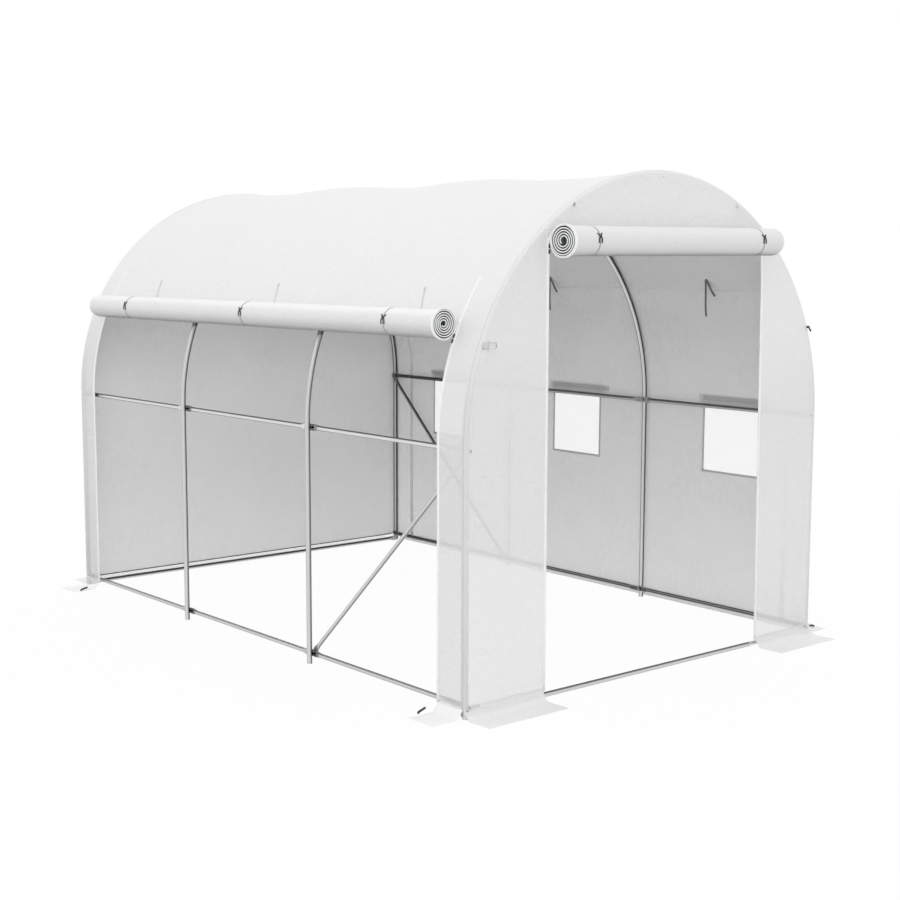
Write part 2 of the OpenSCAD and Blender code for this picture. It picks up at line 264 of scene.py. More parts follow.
LEFT_RAILS = [(-1, 0.2), (-0.74, 0.22), (-0.54, 0.74), (0.4, 0.74), (0.6, 0.3), (0.8, 0.14), (1, 0.14)]
RIGHT_RAILS = [
    (-1, 0.25), (-0.66, 0.3), (-0.4, 0.43), (-0.2, 0.42), (0.1, 0.22), (0.5, 0.14), (0.87, 0.19), (1, 0.2)]
LEFT_SILLS = [
    (-1, 0.6), (-0.6, 0.58), (-0.15, 0.5), (0.05, 0.54), (0.26, 0.74), (0.42, 0.68), (0.62, 0.34),
    (0.85, 0.36), (1, 0.48)]
RIGHT_SILLS = [
    (-1, 0.5), (-0.62, 0.46), (-0.4, 0.12), (0.2, 0.09), (0.42, 0.4), (0.66, 0.4), (0.8, 0.08), (1, 0.06)]
FRONT_SILL = [(-1, 0.45), (-0.6, 0.5), (0, 0.66), (0.4, 0.6), (0.62, 0.3), (0.82, 0.16), (1, 0.2)]
BACK_SILL = [
    (-1, 0.72), (-0.6, 0.66), (-0.04, 0.42), (0.2, 0.15), (0.45, 0.05), (0.7, 0.07), (0.87, 0.2), (1, 0.22)]
COVERED = [(-1, 0.8), (1, 0.75)]
BRACES = [(-1, 0.2), (-0.7, 0.25), (-0.35, 0.66), (0.3, 0.68), (0.6, 0.3), (1, 0.2)]
SHADED = [(-1, 0.12), (1, 0.07)]
BACK_BRACE = [(-1, 0.08), (-0.3, 0.12), (0.1, 0.27), (0.4, 0.2), (0.7, 0.09), (1, 0.08)]
# Painted shade: under the rolled side the hoops are in its shade, and at the back the strip shades the rail's
# end.
# The panels cover the ends of the front sill and the front hoop's legs, which are painted pale there as
# painted light through the sheet, and below the hem the front hoop's feet are bare.
ROLL_SHADE_Z, STRIP_SHADE_Y, PANEL_X, FOOT_Z = 1.338, 1.325, 0.61, 0.034
hoop_zinc = zinc_material(
    "galvanised_steel_hoops", SIDEWAYS, LEFT_LEGS, ("Z", ROLL_SHADE_Z, UNDER_ROLL), ("X", 0, RIGHT_LEGS))
back_zinc = zinc_material("galvanised_steel_back_hoop", SIDEWAYS, BACK_HOOP)
rail_zinc = zinc_material(
    "galvanised_steel_rails", UPWARDS, LEFT_RAILS, ("Y", STRIP_SHADE_Y, SHADED), level=rail_z, shaded_pit=True)
shaded_zinc = zinc_material(
    "galvanised_steel_shaded", UPWARDS, RIGHT_RAILS, ("Y", bay / 2, SHADED), level=rail_z)
sill_zinc = zinc_material("galvanised_steel_sills", UPWARDS, LEFT_SILLS, level=side_sill_z, shaded_pit=True)
right_zinc = zinc_material(
    "galvanised_steel_right_sills", UPWARDS, RIGHT_SILLS, ("Y", bay, SHADED), level=side_sill_z)
front_zinc = zinc_material(
    "galvanised_steel_front_sill", UPWARDS, COVERED, ("X", -PANEL_X, FRONT_SILL), ("X", PANEL_X, COVERED))
end_zinc = zinc_material("galvanised_steel_back_sill", UPWARDS, BACK_SILL)
brace_zinc = zinc_material("galvanised_steel_brace", UPWARDS, BRACES)
back_brace_zinc = zinc_material("galvanised_steel_back_brace", UPWARDS, BACK_BRACE)
covered_zinc = zinc_material("galvanised_steel_covered", SIDEWAYS, LEFT_LEGS, ("Z", FOOT_Z, COVERED))
tubes = {f"{hoop}_{part}": hoop_zinc for hoop in HOOPS for part in HOOP_PARTS}
tubes.update({f"back_hoop_{part}": back_zinc for part in HOOP_PARTS})
tubes.update(left_rails=rail_zinc, ridge_rails=rail_zinc, right_rails=shaded_zinc, left_sills=sill_zinc)
tubes.update(right_sills=right_zinc, front_sill=front_zinc, back_sill=end_zinc)
tubes.update(left_brace=brace_zinc, right_brace=back_brace_zinc, front_hoop_legs=covered_zinc)
for name, zinc in tubes.items():
    tube_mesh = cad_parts[name].data
    tube_mesh.materials.clear()
    tube_mesh.materials.append(zinc)

# Bolts: zinc-plated hexagon heads on washers, one through every stack of flattened tube ends,
# seated on the innermost flat, along the sides, the ridge and both end sills.
BOLT_SIZES = {
    "Head across corners": 0.0115, "Head height": 0.004, "Washer diameter": 0.013, "Washer thickness": 0.0014}
HEAD_SIDES, WASHER_SIDES = 6, 20
FLAT_STEP = 0.0033
# The bolts' painted reflections and shade by place: dark on the left behind the front hoop and at the left
# front foot, pale elsewhere
PALE = [(-1, 0.3), (1, 0.38)]
bolt_zinc = zinc_material(
    "galvanised_steel_bolts", UPWARDS, SHADED,
    ("Z", FOOT_Z, PALE), ("Y", hoop_y[0] + bay / 2, SHADED), ("X", 0, PALE))


def size_tool(name, sizes):
    """A geometry node tree that takes a mesh and named sizes, with its first and last node."""
    tree = bpy.data.node_groups.new(name, "GeometryNodeTree")
    tree.interface.new_socket("Geometry", in_out="INPUT", socket_type="NodeSocketGeometry")
    for size, value in sizes.items():
        socket = tree.interface.new_socket(size, in_out="INPUT", socket_type="NodeSocketFloat")
        socket.default_value = value
    tree.interface.new_socket("Geometry", in_out="OUTPUT", socket_type="NodeSocketGeometry")
    return tree, add_node(tree, "NodeGroupInput").outputs, add_node(tree, "NodeGroupOutput")


def end_tool(tree, geometry, material, last):
    """Makes the copies real, gives them their material and ends the tree."""
    real = add_node(tree, "GeometryNodeRealizeInstances", {"Geometry": geometry})
    coloured = add_node(
        tree, "GeometryNodeSetMaterial", {"Geometry": real.outputs[0], "Material": material})
    tree.links.new(coloured.outputs[0], last.inputs[0])


def show(name, mesh):
    """A piece of the tunnel with that mesh, standing with the frame."""
    piece = bpy.data.objects.new(name, mesh)
    scene.collection.objects.link(piece)
    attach(piece, "root")
    return piece


def grow(name, mesh, tree, sizes):
    """Runs a geometry node tree on a mesh and keeps the result as a plain mesh."""
    seed = bpy.data.objects.new(name + "_seed", mesh)
    scene.collection.objects.link(seed)
    modifier = seed.modifiers.new("tool", "NODES")
    modifier.node_group = tree
    for item in tree.interface.items_tree:
        if item.in_out == "INPUT" and item.name in sizes:
            modifier[item.identifier] = sizes[item.name]
    made = bpy.data.meshes.new_from_object(seed.evaluated_get(bpy.context.evaluated_depsgraph_get()))
    made.name = name
    seed.modifiers.remove(modifier)
    bpy.data.objects.remove(seed)
    bpy.data.meshes.remove(mesh)
    return show(name, made)


def points_mesh(name, points, edges=(), **directions):
    """Points, loose or joined by edges, with a named direction at each."""
    mesh = bpy.data.meshes.new(name)
    mesh.from_pydata([tuple(p) for p in points], edges, [])
    for attribute, vectors in directions.items():
        layer = mesh.attributes.new(attribute, "FLOAT_VECTOR", "POINT")
        layer.data.foreach_set("vector", np.asarray(vectors, float).ravel())
    return mesh


bolt_tree, bolt_size, bolt_end = size_tool("hexagon_bolts", BOLT_SIZES)
washer = add_node(bolt_tree, "GeometryNodeMeshCylinder", {
    "Vertices": WASHER_SIDES, "Radius": calc(bolt_tree, "MULTIPLY", bolt_size["Washer diameter"], 0.5),
    "Depth": bolt_size["Washer thickness"]})
head = add_node(bolt_tree, "GeometryNodeMeshCylinder", {
    "Vertices": HEAD_SIDES, "Radius": calc(bolt_tree, "MULTIPLY", bolt_size["Head across corners"], 0.5),
    "Depth": bolt_size["Head height"]})
lift = add_node(
    bolt_tree, "ShaderNodeCombineXYZ", {"Z": calc(bolt_tree, "MULTIPLY", bolt_size["Head height"], 0.5)})
raised = add_node(
    bolt_tree, "GeometryNodeTransform",
    {"Geometry": head.outputs["Mesh"], "Translation": lift.outputs[0]})
bolt = add_node(bolt_tree, "GeometryNodeJoinGeometry")
bolt_tree.links.new(washer.outputs["Mesh"], bolt.inputs[0])
bolt_tree.links.new(raised.outputs[0], bolt.inputs[0])
axis = add_node(bolt_tree, "GeometryNodeInputNamedAttribute", {"Name": "axis"}, data_type="FLOAT_VECTOR")
aim = add_node(
    bolt_tree, "FunctionNodeAlignRotationToVector", {"Vector": axis.outputs["Attribute"]}, axis="Z")
placed = add_node(bolt_tree, "GeometryNodeInstanceOnPoints", {
    "Points": bolt_size["Geometry"], "Instance": bolt.outputs[0], "Rotation": aim.outputs[0]})
end_tool(bolt_tree, placed.outputs[0], bolt_zinc, bolt_end)

seat_x = hoop_r - hoop_tube_r
bolt_at, bolt_axis = [], []
for i, y in enumerate(hoop_y):
    lapped = 2 if i in (1, 2) else 1
    # The braces add a flat at the top of an end hoop and at the foot of the hoop beside it
    for side, brace_top, brace_foot in ((-1, 0, 1), (1, 3, 2)):
        for z, has_brace in ((rail_z, i == brace_top), (side_sill_z, i == brace_foot)):
            flats = lapped + has_brace
            bolt_at.append((side * (seat_x - flats * FLAT_STEP), y, z))
            bolt_axis.append((-side, 0, 0))
    arch_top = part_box(f"{HOOPS[i]}_left_arc")[1].z
    bolt_at.append((0, y, arch_top - 2 * hoop_tube_r - lapped * FLAT_STEP))
    bolt_axis.append((0, 0, -1))
for y, inward in ((hoop_y[0], 1), (hoop_y[-1], -1)):
    for side in (-1, 1):
        bolt_at.append((side * hoop_r, y + inward * (hoop_tube_r + FLAT_STEP), end_sill_z))
        bolt_axis.append((0, inward, 0))
        # The nut on the outside of the hoop's foot, below the cover's hem
        bolt_at.append((side * hoop_r, y - inward * hoop_tube_r, end_sill_z))
        bolt_axis.append((0, -inward, 0))
frame_bolts = grow("frame_bolts", points_mesh("bolts", bolt_at, axis=bolt_axis), bolt_tree, BOLT_SIZES)

# The roof: one sheet of white polyethylene with a woven grid of threads inside, laid over the hoops from
# eave to eave, sagging a little from hoop to hoop and pulled over the end hoops.
wall_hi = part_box("back_wall")[1]
cover_r = wall_hi.x
spring_z = wall_hi.z - cover_r
# The sheet's thickness, the step from one layer of it to the next, and its play over the ridge rails
SHEET_T, LAYER, RIDGE_PLAY = 0.0007, 0.0008, 0.0003
EAVE_ANGLE = math.degrees(math.acos(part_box("roof_right_slope")[1].x / cover_r))
# On the left the roof runs on down behind the rolled-up side
TUCK_ANGLE = math.degrees(math.acos(-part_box("roof_left_slope")[0].x / cover_r))
RIDGE_SAG, WALL_SAG = 0.0185, 0.003
RAIL_REACH = 0.024
END_DIP, END_DIP_REACH = 0.007, 0.035
CREASE = 0.0011
MESH_STEP = 0.016
SHARP_EDGE = math.radians(50)
skin_length = 2 * spring_z + math.pi * cover_r
rail_gap = spring_z + cover_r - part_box("ridge_rails")[1].z - SHEET_T - CREASE - RIDGE_PLAY
strip_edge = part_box("right_front_strip")[1].y


def at_angle(degrees):
    """Distance along the skin from the ground on the right to that angle above the springing."""
    return spring_z + cover_r * math.radians(degrees)


def skin(s):
    """x and z of the cover's section and its outward direction, at s from the ground on the right."""
    turned = np.clip((s - spring_z) / cover_r, 0, np.pi)
    below = np.maximum(spring_z - s, 0) + np.maximum(s - spring_z - np.pi * cover_r, 0)
    out_x, out_z = np.cos(turned), np.sin(turned)
    return cover_r * out_x, spring_z + cover_r * out_z - below, out_x, out_z


def crumple(u, v, seed):
    """Soft creases of a sheet that was folded in its box, from -1 to 1."""
    flat = np.empty(u.size)
    for i, (a, b) in enumerate(zip(u.ravel(), v.ravel())):
        broad = noise.noise(Vector((1.7 * a + 0.9 * b, 2.3 * b, seed)))
        sharp = 1 - 2 * abs(noise.noise(Vector((5.5 * a + 2.5 * b, 4.2 * b - 2.0 * a, seed + 7.7))))
        flat[i] = 0.7 * broad + 0.3 * sharp * abs(broad) * 2
    return flat.reshape(u.shape)


def sag(s, y):
    """How far the sheet lies inside the hoops' outline."""
    turned = np.clip((s - spring_z) / cover_r, 0, np.pi)
    below_rail = np.sin(np.pi * np.clip(np.minimum(s, skin_length - s) / rail_z, 0, 1))
    depth = WALL_SAG * below_rail + RIDGE_SAG * np.sin(turned) ** 2
    between = np.sin(np.pi * (y - hoop_y[0]) / bay) ** 2
    from_end = np.clip(hoop_y[-1] - np.abs(y), 0, bay)
    end_dip = END_DIP * (1 - np.exp(-from_end / END_DIP_REACH)) * np.cos(np.pi / 2 * from_end / bay) ** 2
    dip = depth * between + end_dip * np.sin(turned) ** 2
    # The ridge rails hold the sheet up along its middle line
    on_rail = np.exp(-(((turned - np.pi / 2) * cover_r / RAIL_REACH) ** 2))
    return dip - np.maximum(dip - rail_gap, 0) * on_rail


def spread(start, end, step=MESH_STEP):
    return np.linspace(start, end, max(2, 1 + math.ceil(abs(end - start) / step)))


def through(*marks):
    """Grid lines that pass through every mark."""
    runs = [spread(a, b)[:-1] for a, b in zip(marks, marks[1:])]
    return np.concatenate(runs + [[marks[-1]]])


def grid_faces(rows, columns, turned=False):
    index = np.arange(rows * columns).reshape(rows, columns)
    corners = [index[:-1, :-1], index[1:, :-1], index[1:, 1:], index[:-1, 1:]]
    if turned:
        corners.reverse()
    return np.stack(corners, -1).reshape(-1, 4)


def map_in_metres(mesh, uv):
    """Gives a mesh its map, with a place in metres for each vertex."""
    layer = mesh.uv_layers.new(name="metres")
    corner = np.empty(len(mesh.loops), int)
    mesh.loops.foreach_get("vertex_index", corner)
    layer.data.foreach_set("uv", uv.reshape(-1, 2)[corner].ravel())


def mesh_of(name, points, faces, material, uv=None):
    """A smooth mesh, with a map in metres where a pattern follows it."""
    mesh = bpy.data.meshes.new(name)
    mesh.from_pydata(points.reshape(-1, 3).tolist(), [], [list(map(int, f)) for f in faces])
    if uv is not None:
        map_in_metres(mesh, uv)
    tidy = bmesh.new()
    tidy.from_mesh(mesh)
    bmesh.ops.remove_doubles(tidy, verts=tidy.verts, dist=1e-5)
    bmesh.ops.dissolve_degenerate(tidy, edges=tidy.edges, dist=1e-6)
    bmesh.ops.delete(tidy, geom=[v for v in tidy.verts if not v.link_faces], context="VERTS")
    tidy.to_mesh(mesh)
    tidy.free()
    mesh.materials.append(material)
    mesh.shade_smooth()
    return mesh


def thicken(piece, lining=None):
    """Gives a sheet its thickness on the inside, with crisp cut edges and its own material on that side."""
    solid = piece.modifiers.new("thickness", "SOLIDIFY")
    solid.thickness = SHEET_T
    solid.offset = -1
    if lining:
        piece.data.materials.append(lining)
        solid.material_offset = 1
    thin = piece.data
    made = bpy.data.meshes.new_from_object(piece.evaluated_get(bpy.context.evaluated_depsgraph_get()))
    piece.modifiers.remove(solid)
    piece.data = made
    bpy.data.meshes.remove(thin)
    made.set_sharp_from_angle(angle=SHARP_EDGE)


# The weave: its pitch, how narrow its threads are, how faint the crossing ones, and how dark they make it
THREAD_PITCH, THREAD_EDGE, CROSS_SHARE, THREAD_DARK = 0.0078, 0.72, 0.35, 0.7
WEAVE_BUMP, WEAVE_DEPTH = 0.12, 0.0004
# Cloudy tone, creases from the box, and the painted shade of crumpled patches with their fine ripples
CLOUD_SCALE, CLOUD_DARK = 3.0, 0.975
FOLD_SCALE, FOLD_BUMP, FOLD_DEPTH = 12.0, 0.68, 0.010
PATCH_SCALE, RIPPLE_SCALE, RIPPLE_TURN, RIPPLE_STRETCH, RIPPLE_SHADE = 2.6, 48.0, 0.35, 0.45, 0.5
PATCH_EDGES = [(0.42, 0.1), (0.58, 1.0)]
# The colour of the painted shadow where a roll lies behind the sheet
FLAP_SHADOW_DARK = (0.02, 0.02, 0.022, 1)
SHEET_ROUGHNESS, SHEET_GLOSS = 0.48, 0.3


def darker(colour, share):
    return [c * share for c in colour[:3]] + [1]


def cover_material(name, colour, solid=None, rounding=None, fade=None, backed=0.0, weave=0.13, ripple=0.0):
    """Woven-reinforced polyethylene: a grid of threads and faint creases.

    solid gives its solidity by height, rounding its painted shade by slope, fade its painted light and shade
    along an axis, backed its painted shadow where a roll lies behind it, weave how dark its threads show and
    ripple the painted shade of its crumpled patches.
    """
    material, tree, shader = new_material(name)
    uv = add_node(tree, "ShaderNodeUVMap", uv_map="metres").outputs["UV"]
    surface = add_node(tree, "ShaderNodeTexCoord").outputs
    spot = add_node(tree, "ShaderNodeSeparateXYZ", {"Vector": surface["Object"]}).outputs

    def cloudy(scale, vector=uv, **settings):
        inputs = {"Vector": vector, "Scale": scale, **settings}
        return add_node(tree, "ShaderNodeTexNoise", inputs).outputs["Fac"]

    def shaded(tint, value, stops):
        shade = graded(tree, value, stops)
        return add_node(tree, "ShaderNodeVectorMath", {0: tint, 1: shade}, operation="MULTIPLY").outputs[0]

    # A wave texture makes a band every tenth of pi at scale 1
    band_scale = 2 * math.pi / 20 / THREAD_PITCH
    threads = {}
    for direction in "XY":
        wave = add_node(
            tree, "ShaderNodeTexWave", {"Vector": uv, "Scale": band_scale, "Distortion": 0.0},
            wave_type="BANDS", bands_direction=direction)
        threads[direction] = add_node(tree, "ShaderNodeMapRange", {
            "Value": wave.outputs["Fac"], "From Min": THREAD_EDGE, "From Max": 1.0}).outputs["Result"]
    woven = calc(tree, "MAXIMUM", calc(tree, "MULTIPLY", threads["X"], CROSS_SHARE), threads["Y"])
    tint = mixed(tree, cloudy(CLOUD_SCALE, Detail=4.0, Roughness=0.6), darker(colour, CLOUD_DARK), colour)
    tint = mixed(tree, calc(tree, "MULTIPLY", woven, weave), tint, darker(colour, THREAD_DARK))
    # Painted shade in the fine ripples of crumpled patches
    if ripple:
        crushed = graded(tree, cloudy(PATCH_SCALE, Detail=1.0), PATCH_EDGES)
        drawn = add_node(tree, "ShaderNodeMapping", {
            "Vector": uv, "Rotation": (0, 0, RIPPLE_TURN), "Scale": (1.0, RIPPLE_STRETCH, 1)})
        fine = cloudy(RIPPLE_SCALE, drawn.outputs[0], Detail=1.0, Distortion=0.7)
        dips = graded(tree, fine, [(0.32, 0.0), (0.68, ripple)])
        tint = mixed(tree, calc(tree, "MULTIPLY", crushed, dips), tint, darker(colour, RIPPLE_SHADE))
    # Painted shade by slope, and painted light and shade along an axis
    if rounding:
        slope = add_node(tree, "ShaderNodeSeparateXYZ", {"Vector": surface["Normal"]}).outputs["Z"]
        tint = shaded(tint, slope, rounding)
    if fade:
        axis, stops = fade
        tint = shaded(tint, spot[axis], stops)
    # Painted shadow where a roll lies behind the sheet
    if backed:
        behind = add_node(tree, "ShaderNodeAttribute", attribute_name="backed").outputs["Fac"]
        tint = mixed(tree, calc(tree, "MULTIPLY", behind, backed), tint, FLAP_SHADOW_DARK)
    tree.links.new(tint, shader.inputs["Base Color"])
    weave_bump = add_node(
        tree, "ShaderNodeBump", {"Strength": WEAVE_BUMP, "Distance": WEAVE_DEPTH, "Height": woven})
    folds = cloudy(FOLD_SCALE, Detail=3.0, Roughness=0.5, Distortion=1.4)
    fold_bump = add_node(tree, "ShaderNodeBump", {
        "Strength": FOLD_BUMP, "Distance": FOLD_DEPTH, "Height": folds,
        "Normal": weave_bump.outputs["Normal"]})
    tree.links.new(fold_bump.outputs["Normal"], shader.inputs["Normal"])
    shader.inputs["Roughness"].default_value = SHEET_ROUGHNESS
    shader.inputs["Specular IOR Level"].default_value = SHEET_GLOSS
    if solid:
        tree.links.new(graded(tree, spot["Z"], solid), shader.inputs["Alpha"])
    return material


COVER_WHITE = (0.89, 0.89, 0.89, 1)
# Painted light and shade along an axis: greyer down the right-hand slope, the strips and the right-hand side,
# and towards the back wall's right-hand end, and on the front a little brighter at the foot
ROOF_FADE = ("X", [(0.3, 1.0), (0.7, 0.89), (0.86, 0.9)])
STRIP_FADE = ("Z", [(0.3, 0.91), (1.15, 0.945), (1.5, 1.0)])
RIGHT_FADE = ("Z", [(0.2, 0.92), (0.9, 0.905), (1.25, 0.96), (1.5, 0.965)])
FRONT_FADE = ("Z", [(0.2, 1.06), (0.8, 1.028), (1.6, 1.028)])
LEFT_FADE = ("Z", [(1.0, 1.01), (1.2, 0.985), (1.6, 0.985), (1.7, 1.01)])
BACK_FADE = ("X", [(-0.1, 1.015), (0.9, 0.935)])
roof_sheet = cover_material("cover_sheet_roof", COVER_WHITE, fade=ROOF_FADE)
# Solidity by height: doubled and folded sheet towards the top, thin single sheet at the foot
SOLID = [(0.0, 0.68), (0.55, 0.82), (1.0, 0.84), (1.35, 0.985)]
RIGHT_SOLID = [(0.0, 0.6), (0.55, 0.765), (1.0, 0.84), (1.35, 0.985)]
LINED = [(0.0, 0.04), (2.0, 0.04)]
front_right_sheet = cover_material("cover_sheet_front_right", COVER_WHITE, SOLID, fade=FRONT_FADE)
front_left_sheet = cover_material("cover_sheet_front_left", COVER_WHITE, SOLID, fade=LEFT_FADE, weave=0.2)
back_sheet = cover_material("cover_sheet_back", COVER_WHITE, SOLID, fade=BACK_FADE, ripple=0.075)
strip_sheet = cover_material("cover_sheet_strips", COVER_WHITE, SOLID, fade=STRIP_FADE)
right_sheet = cover_material(
    "cover_sheet_right_side", COVER_WHITE, RIGHT_SOLID, fade=RIGHT_FADE, backed=0.235, ripple=0.11)
wall_lining = cover_material("cover_sheet_lining", COVER_WHITE, LINED)


def skin_points(s, y, layer, seed):
    """A grid of points on the skin, layer by layer under the roof, with its map in metres."""
    along, up = np.meshgrid(y, s)
    x, z, out_x, out_z = skin(up)
    inward = layer * LAYER + sag(up, along) + CREASE * (1 + crumple(along, up, seed)) / 2
    points = np.stack([x - inward * out_x, along, z - inward * out_z], -1)
    return points, np.stack([along, up], -1)


ROOF_SEED = 1.3
roof_s = through(at_angle(EAVE_ANGLE), at_angle(180 - EAVE_ANGLE), at_angle(180 - TUCK_ANGLE))
roof_y = through(hoop_y[0], strip_edge, -strip_edge, hoop_y[-1])
points, uv = skin_points(roof_s, roof_y, 0, ROOF_SEED)
middle_y = ((roof_y[:-1] + roof_y[1:]) / 2)[None, :]
middle_s = ((roof_s[:-1] + roof_s[1:]) / 2)[:, None]
kept = ~((np.abs(middle_y) > -strip_edge) & (middle_s > at_angle(180 - EAVE_ANGLE))).ravel()
faces = grid_faces(*points.shape[:2], True)[kept]
roof = show("roof_cover", mesh_of("roof_cover", points, faces, roof_sheet, uv))
thicken(roof)
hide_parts("roof_left_slope", "roof_right_slope")

# Fixed strips beside the end hoops: narrow pieces of the same sheet, sewn edge to edge to the roof,
# bound or zipped along the free edge, with a skirt sewn on at the foot.
HEM_Z = 0.035
SEAM_LAP = 0.012
eave_s = at_angle(EAVE_ANGLE)


def side_span(side):
    """The skin from hem to eave on the right (1) or, seen along the same way round, on the left (-1)."""
    span = spread(HEM_Z, eave_s)
    return span if side > 0 else skin_length - span[::-1]


for side, side_name in ((-1, "left"), (1, "right")):
    for end_name, y_from, y_to in (("front", hoop_y[0], strip_edge), ("back", -strip_edge, hoop_y[-1])):
        name = f"{side_name}_{end_name}_strip"
        points, uv = skin_points(side_span(side), spread(y_from, y_to), 0, ROOF_SEED)
        sheet = strip_sheet if side < 0 else right_sheet
        strip = show(f"{name}_cover", mesh_of(name, points, grid_faces(*points.shape[:2], True), sheet, uv))
        thicken(strip, wall_lining)
        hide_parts(name)

# The closed side: the right-hand twin of the rolled-up side, let down and zipped between its strips,
# with a netted window cut in each bay.
net_lo, net_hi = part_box("window_nets")
window_w = net_hi.y - net_lo.y - 2 * bay
WINDOW_SHIFT = (-0.014, 0.009, 0.006)
window_middles = [net_lo.y + window_w / 2 + i * bay + shift for i, shift in enumerate(WINDOW_SHIFT)]
# Where the painted shadow of the rolled flaps lies on the sheet, from each window's middle and up from its
# top edge
BACKED_SHIFT, BACKED_HALF, BACKED_LOW, BACKED_H, BLUR = -0.026, 0.198, 0.0205, 0.0433, 0.002
SIDE_SEED = 5.2
lap_s = eave_s + SEAM_LAP
window_marks = []
for y in window_middles:
    near, far = y + BACKED_SHIFT - BACKED_HALF, y + BACKED_SHIFT + BACKED_HALF
    window_marks += [near - BLUR, near + BLUR, y - window_w / 2, y + window_w / 2, far - BLUR, far + BLUR]
side_y = through(strip_edge, *window_marks, -strip_edge)
backed_lo, backed_z = net_hi.z + BACKED_LOW, net_hi.z + BACKED_H
side_s = through(
    HEM_Z, net_lo.z, net_hi.z, backed_lo - BLUR, backed_lo + BLUR, backed_z - BLUR, backed_z + BLUR, lap_s)
points, uv = skin_points(side_s, side_y, 1, SIDE_SEED)
faces = grid_faces(*points.shape[:2], True)
middle_y = ((side_y[:-1] + side_y[1:]) / 2)[None, :]
middle_s = ((side_s[:-1] + side_s[1:]) / 2)[:, None]
in_window = np.any([np.abs(middle_y - y) < window_w / 2 for y in window_middles], 0)
solid = ~(in_window & (middle_s > net_lo.z) & (middle_s < net_hi.z)).ravel()
right_side = show("right_side_cover", mesh_of("right_side_cover", points, faces[solid], right_sheet, uv))
# The painted shadow of each rolled flap, marked on the sheet's points
backed = right_side.data.attributes.new("backed", "FLOAT", "POINT")
for vertex, shade in zip(right_side.data.vertices, backed.data):
    near_flap = any(abs(vertex.co.y - y - BACKED_SHIFT) < BACKED_HALF for y in window_middles)
    shade.value = float(near_flap and backed_lo < vertex.co.z < backed_z)
thicken(right_side, wall_lining)
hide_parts("right_side_panel")

# Front and back: sheets cut to the arch, turned round the end hoop at the rim and sewn under the roof.
# The front is two panels and a gable round the doorway, and the back is one closed wall.
rim_r = cover_r - 2 * LAYER - hoop_r
RIM_STEPS = 7
FACE_STEP = 0.02
END_CREASE = 0.0016
# How much larger than its face a flat sheet is, to go round the rim, and the gable in its height
PANEL_SEED, GABLE_SEED, BACK_SEED = 8.4, 11.9, 15.1


def end_wall(name, s, targets, out, seed, sheet):
    """A sheet from the end hoop's outer side, round its rim and across the end to a target on each row."""
    x, z, out_x, out_z = skin(s)
    middle = np.stack([x - (cover_r - hoop_r) * out_x, z - (cover_r - hoop_r) * out_z], -1)
    outward = np.stack([out_x, out_z], -1)
    hoop = hoop_y[0] if out < 0 else hoop_y[-1]
    columns, maps = [], []
    rim = [(math.pi / 2, SEAM_LAP)] + [(a, 0) for a in np.linspace(math.pi / 2, 0, RIM_STEPS)]
    for angle, lap in rim:
        flat = middle + rim_r * math.sin(angle) * outward
        y = np.full(len(s), hoop + out * (rim_r * math.cos(angle) - lap))
        columns.append(np.stack([flat[:, 0], y, flat[:, 1]], -1))
        maps.append(middle + (rim_r * angle + lap) * outward)
    longest = np.max(np.linalg.norm(targets - middle, axis=1))
    for share in np.linspace(0, 1, 1 + math.ceil(longest / FACE_STEP))[1:]:
        flat = middle + share * (targets - middle)
        inside = hoop_r - np.hypot(flat[:, 0], np.maximum(flat[:, 1] - spring_z, 0))
        hollow = 1 - np.exp(-np.clip(inside, 0, None) / END_DIP_REACH)
        creases = END_CREASE * crumple(flat[:, 0], flat[:, 1], seed)
        y = hoop + out * (rim_r - (END_DIP + creases) * hollow)
        columns.append(np.stack([flat[:, 0], y, flat[:, 1]], -1))
        maps.append(flat)
    points = np.stack(columns, 1)
    mesh = mesh_of(name, points, grid_faces(*points.shape[:2], out > 0), sheet, np.stack(maps, 1))
    piece = show(f"{name}_cover", mesh)
    thicken(piece, wall_lining)
    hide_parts(name)
    return piece


door_half = -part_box("front_left_panel")[1].x
gable_foot_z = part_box("front_gable")[0].z
# The right-hand panel hangs slack and leans away from the doorway towards its foot
DOOR_SLACK, DOOR_LEAN, DOOR_LEVEL, SLACK_FROM = 0.0144, 0.0112, 1.45, 0.2
corner_turn = math.acos(door_half / hoop_r)
corner_s = spring_z + cover_r * corner_turn
corner_z = spring_z + hoop_r * math.sin(corner_turn)


def door_edge(side, z):
    """x of the doorway's edge at a height."""
    slack = (DOOR_SLACK + DOOR_LEAN * (DOOR_LEVEL - z)) * np.clip((corner_z - z) / SLACK_FROM, 0, 1)
    return side * door_half + (slack if side > 0 else 0 * slack)


for side, name in ((1, "front_right_panel"), (-1, "front_left_panel")):
    reach = spread(HEM_Z, corner_s)
    edge_z = HEM_Z + (reach - HEM_Z) / (corner_s - HEM_Z) * (corner_z - HEM_Z)
    edge = np.stack([door_edge(side, edge_z), edge_z], -1)
    if side < 0:
        reach, edge = skin_length - reach[::-1], edge[::-1]
    sheet = front_right_sheet if side > 0 else front_left_sheet
    panel = end_wall(name, reach, edge, -1, PANEL_SEED + side, sheet)
gable_reach = spread(corner_s, skin_length - corner_s)
chord_x = np.linspace(1, -1, len(gable_reach)) * door_half
foot = np.stack([chord_x, np.full(len(gable_reach), gable_foot_z)], -1)
gable = end_wall("front_gable", gable_reach, foot, -1, GABLE_SEED, front_left_sheet)
back_reach = spread(HEM_Z, skin_length - HEM_Z)
rise = np.minimum(back_reach, skin_length - back_reach)
spine_z = HEM_Z + (rise - HEM_Z) / (skin_length / 2 - HEM_Z) * (spring_z + hoop_r - HEM_Z)
spine = np.stack([np.zeros(len(rise)), spine_z], -1)
back = end_wall("back_wall", back_reach, spine, 1, BACK_SEED, back_sheet)

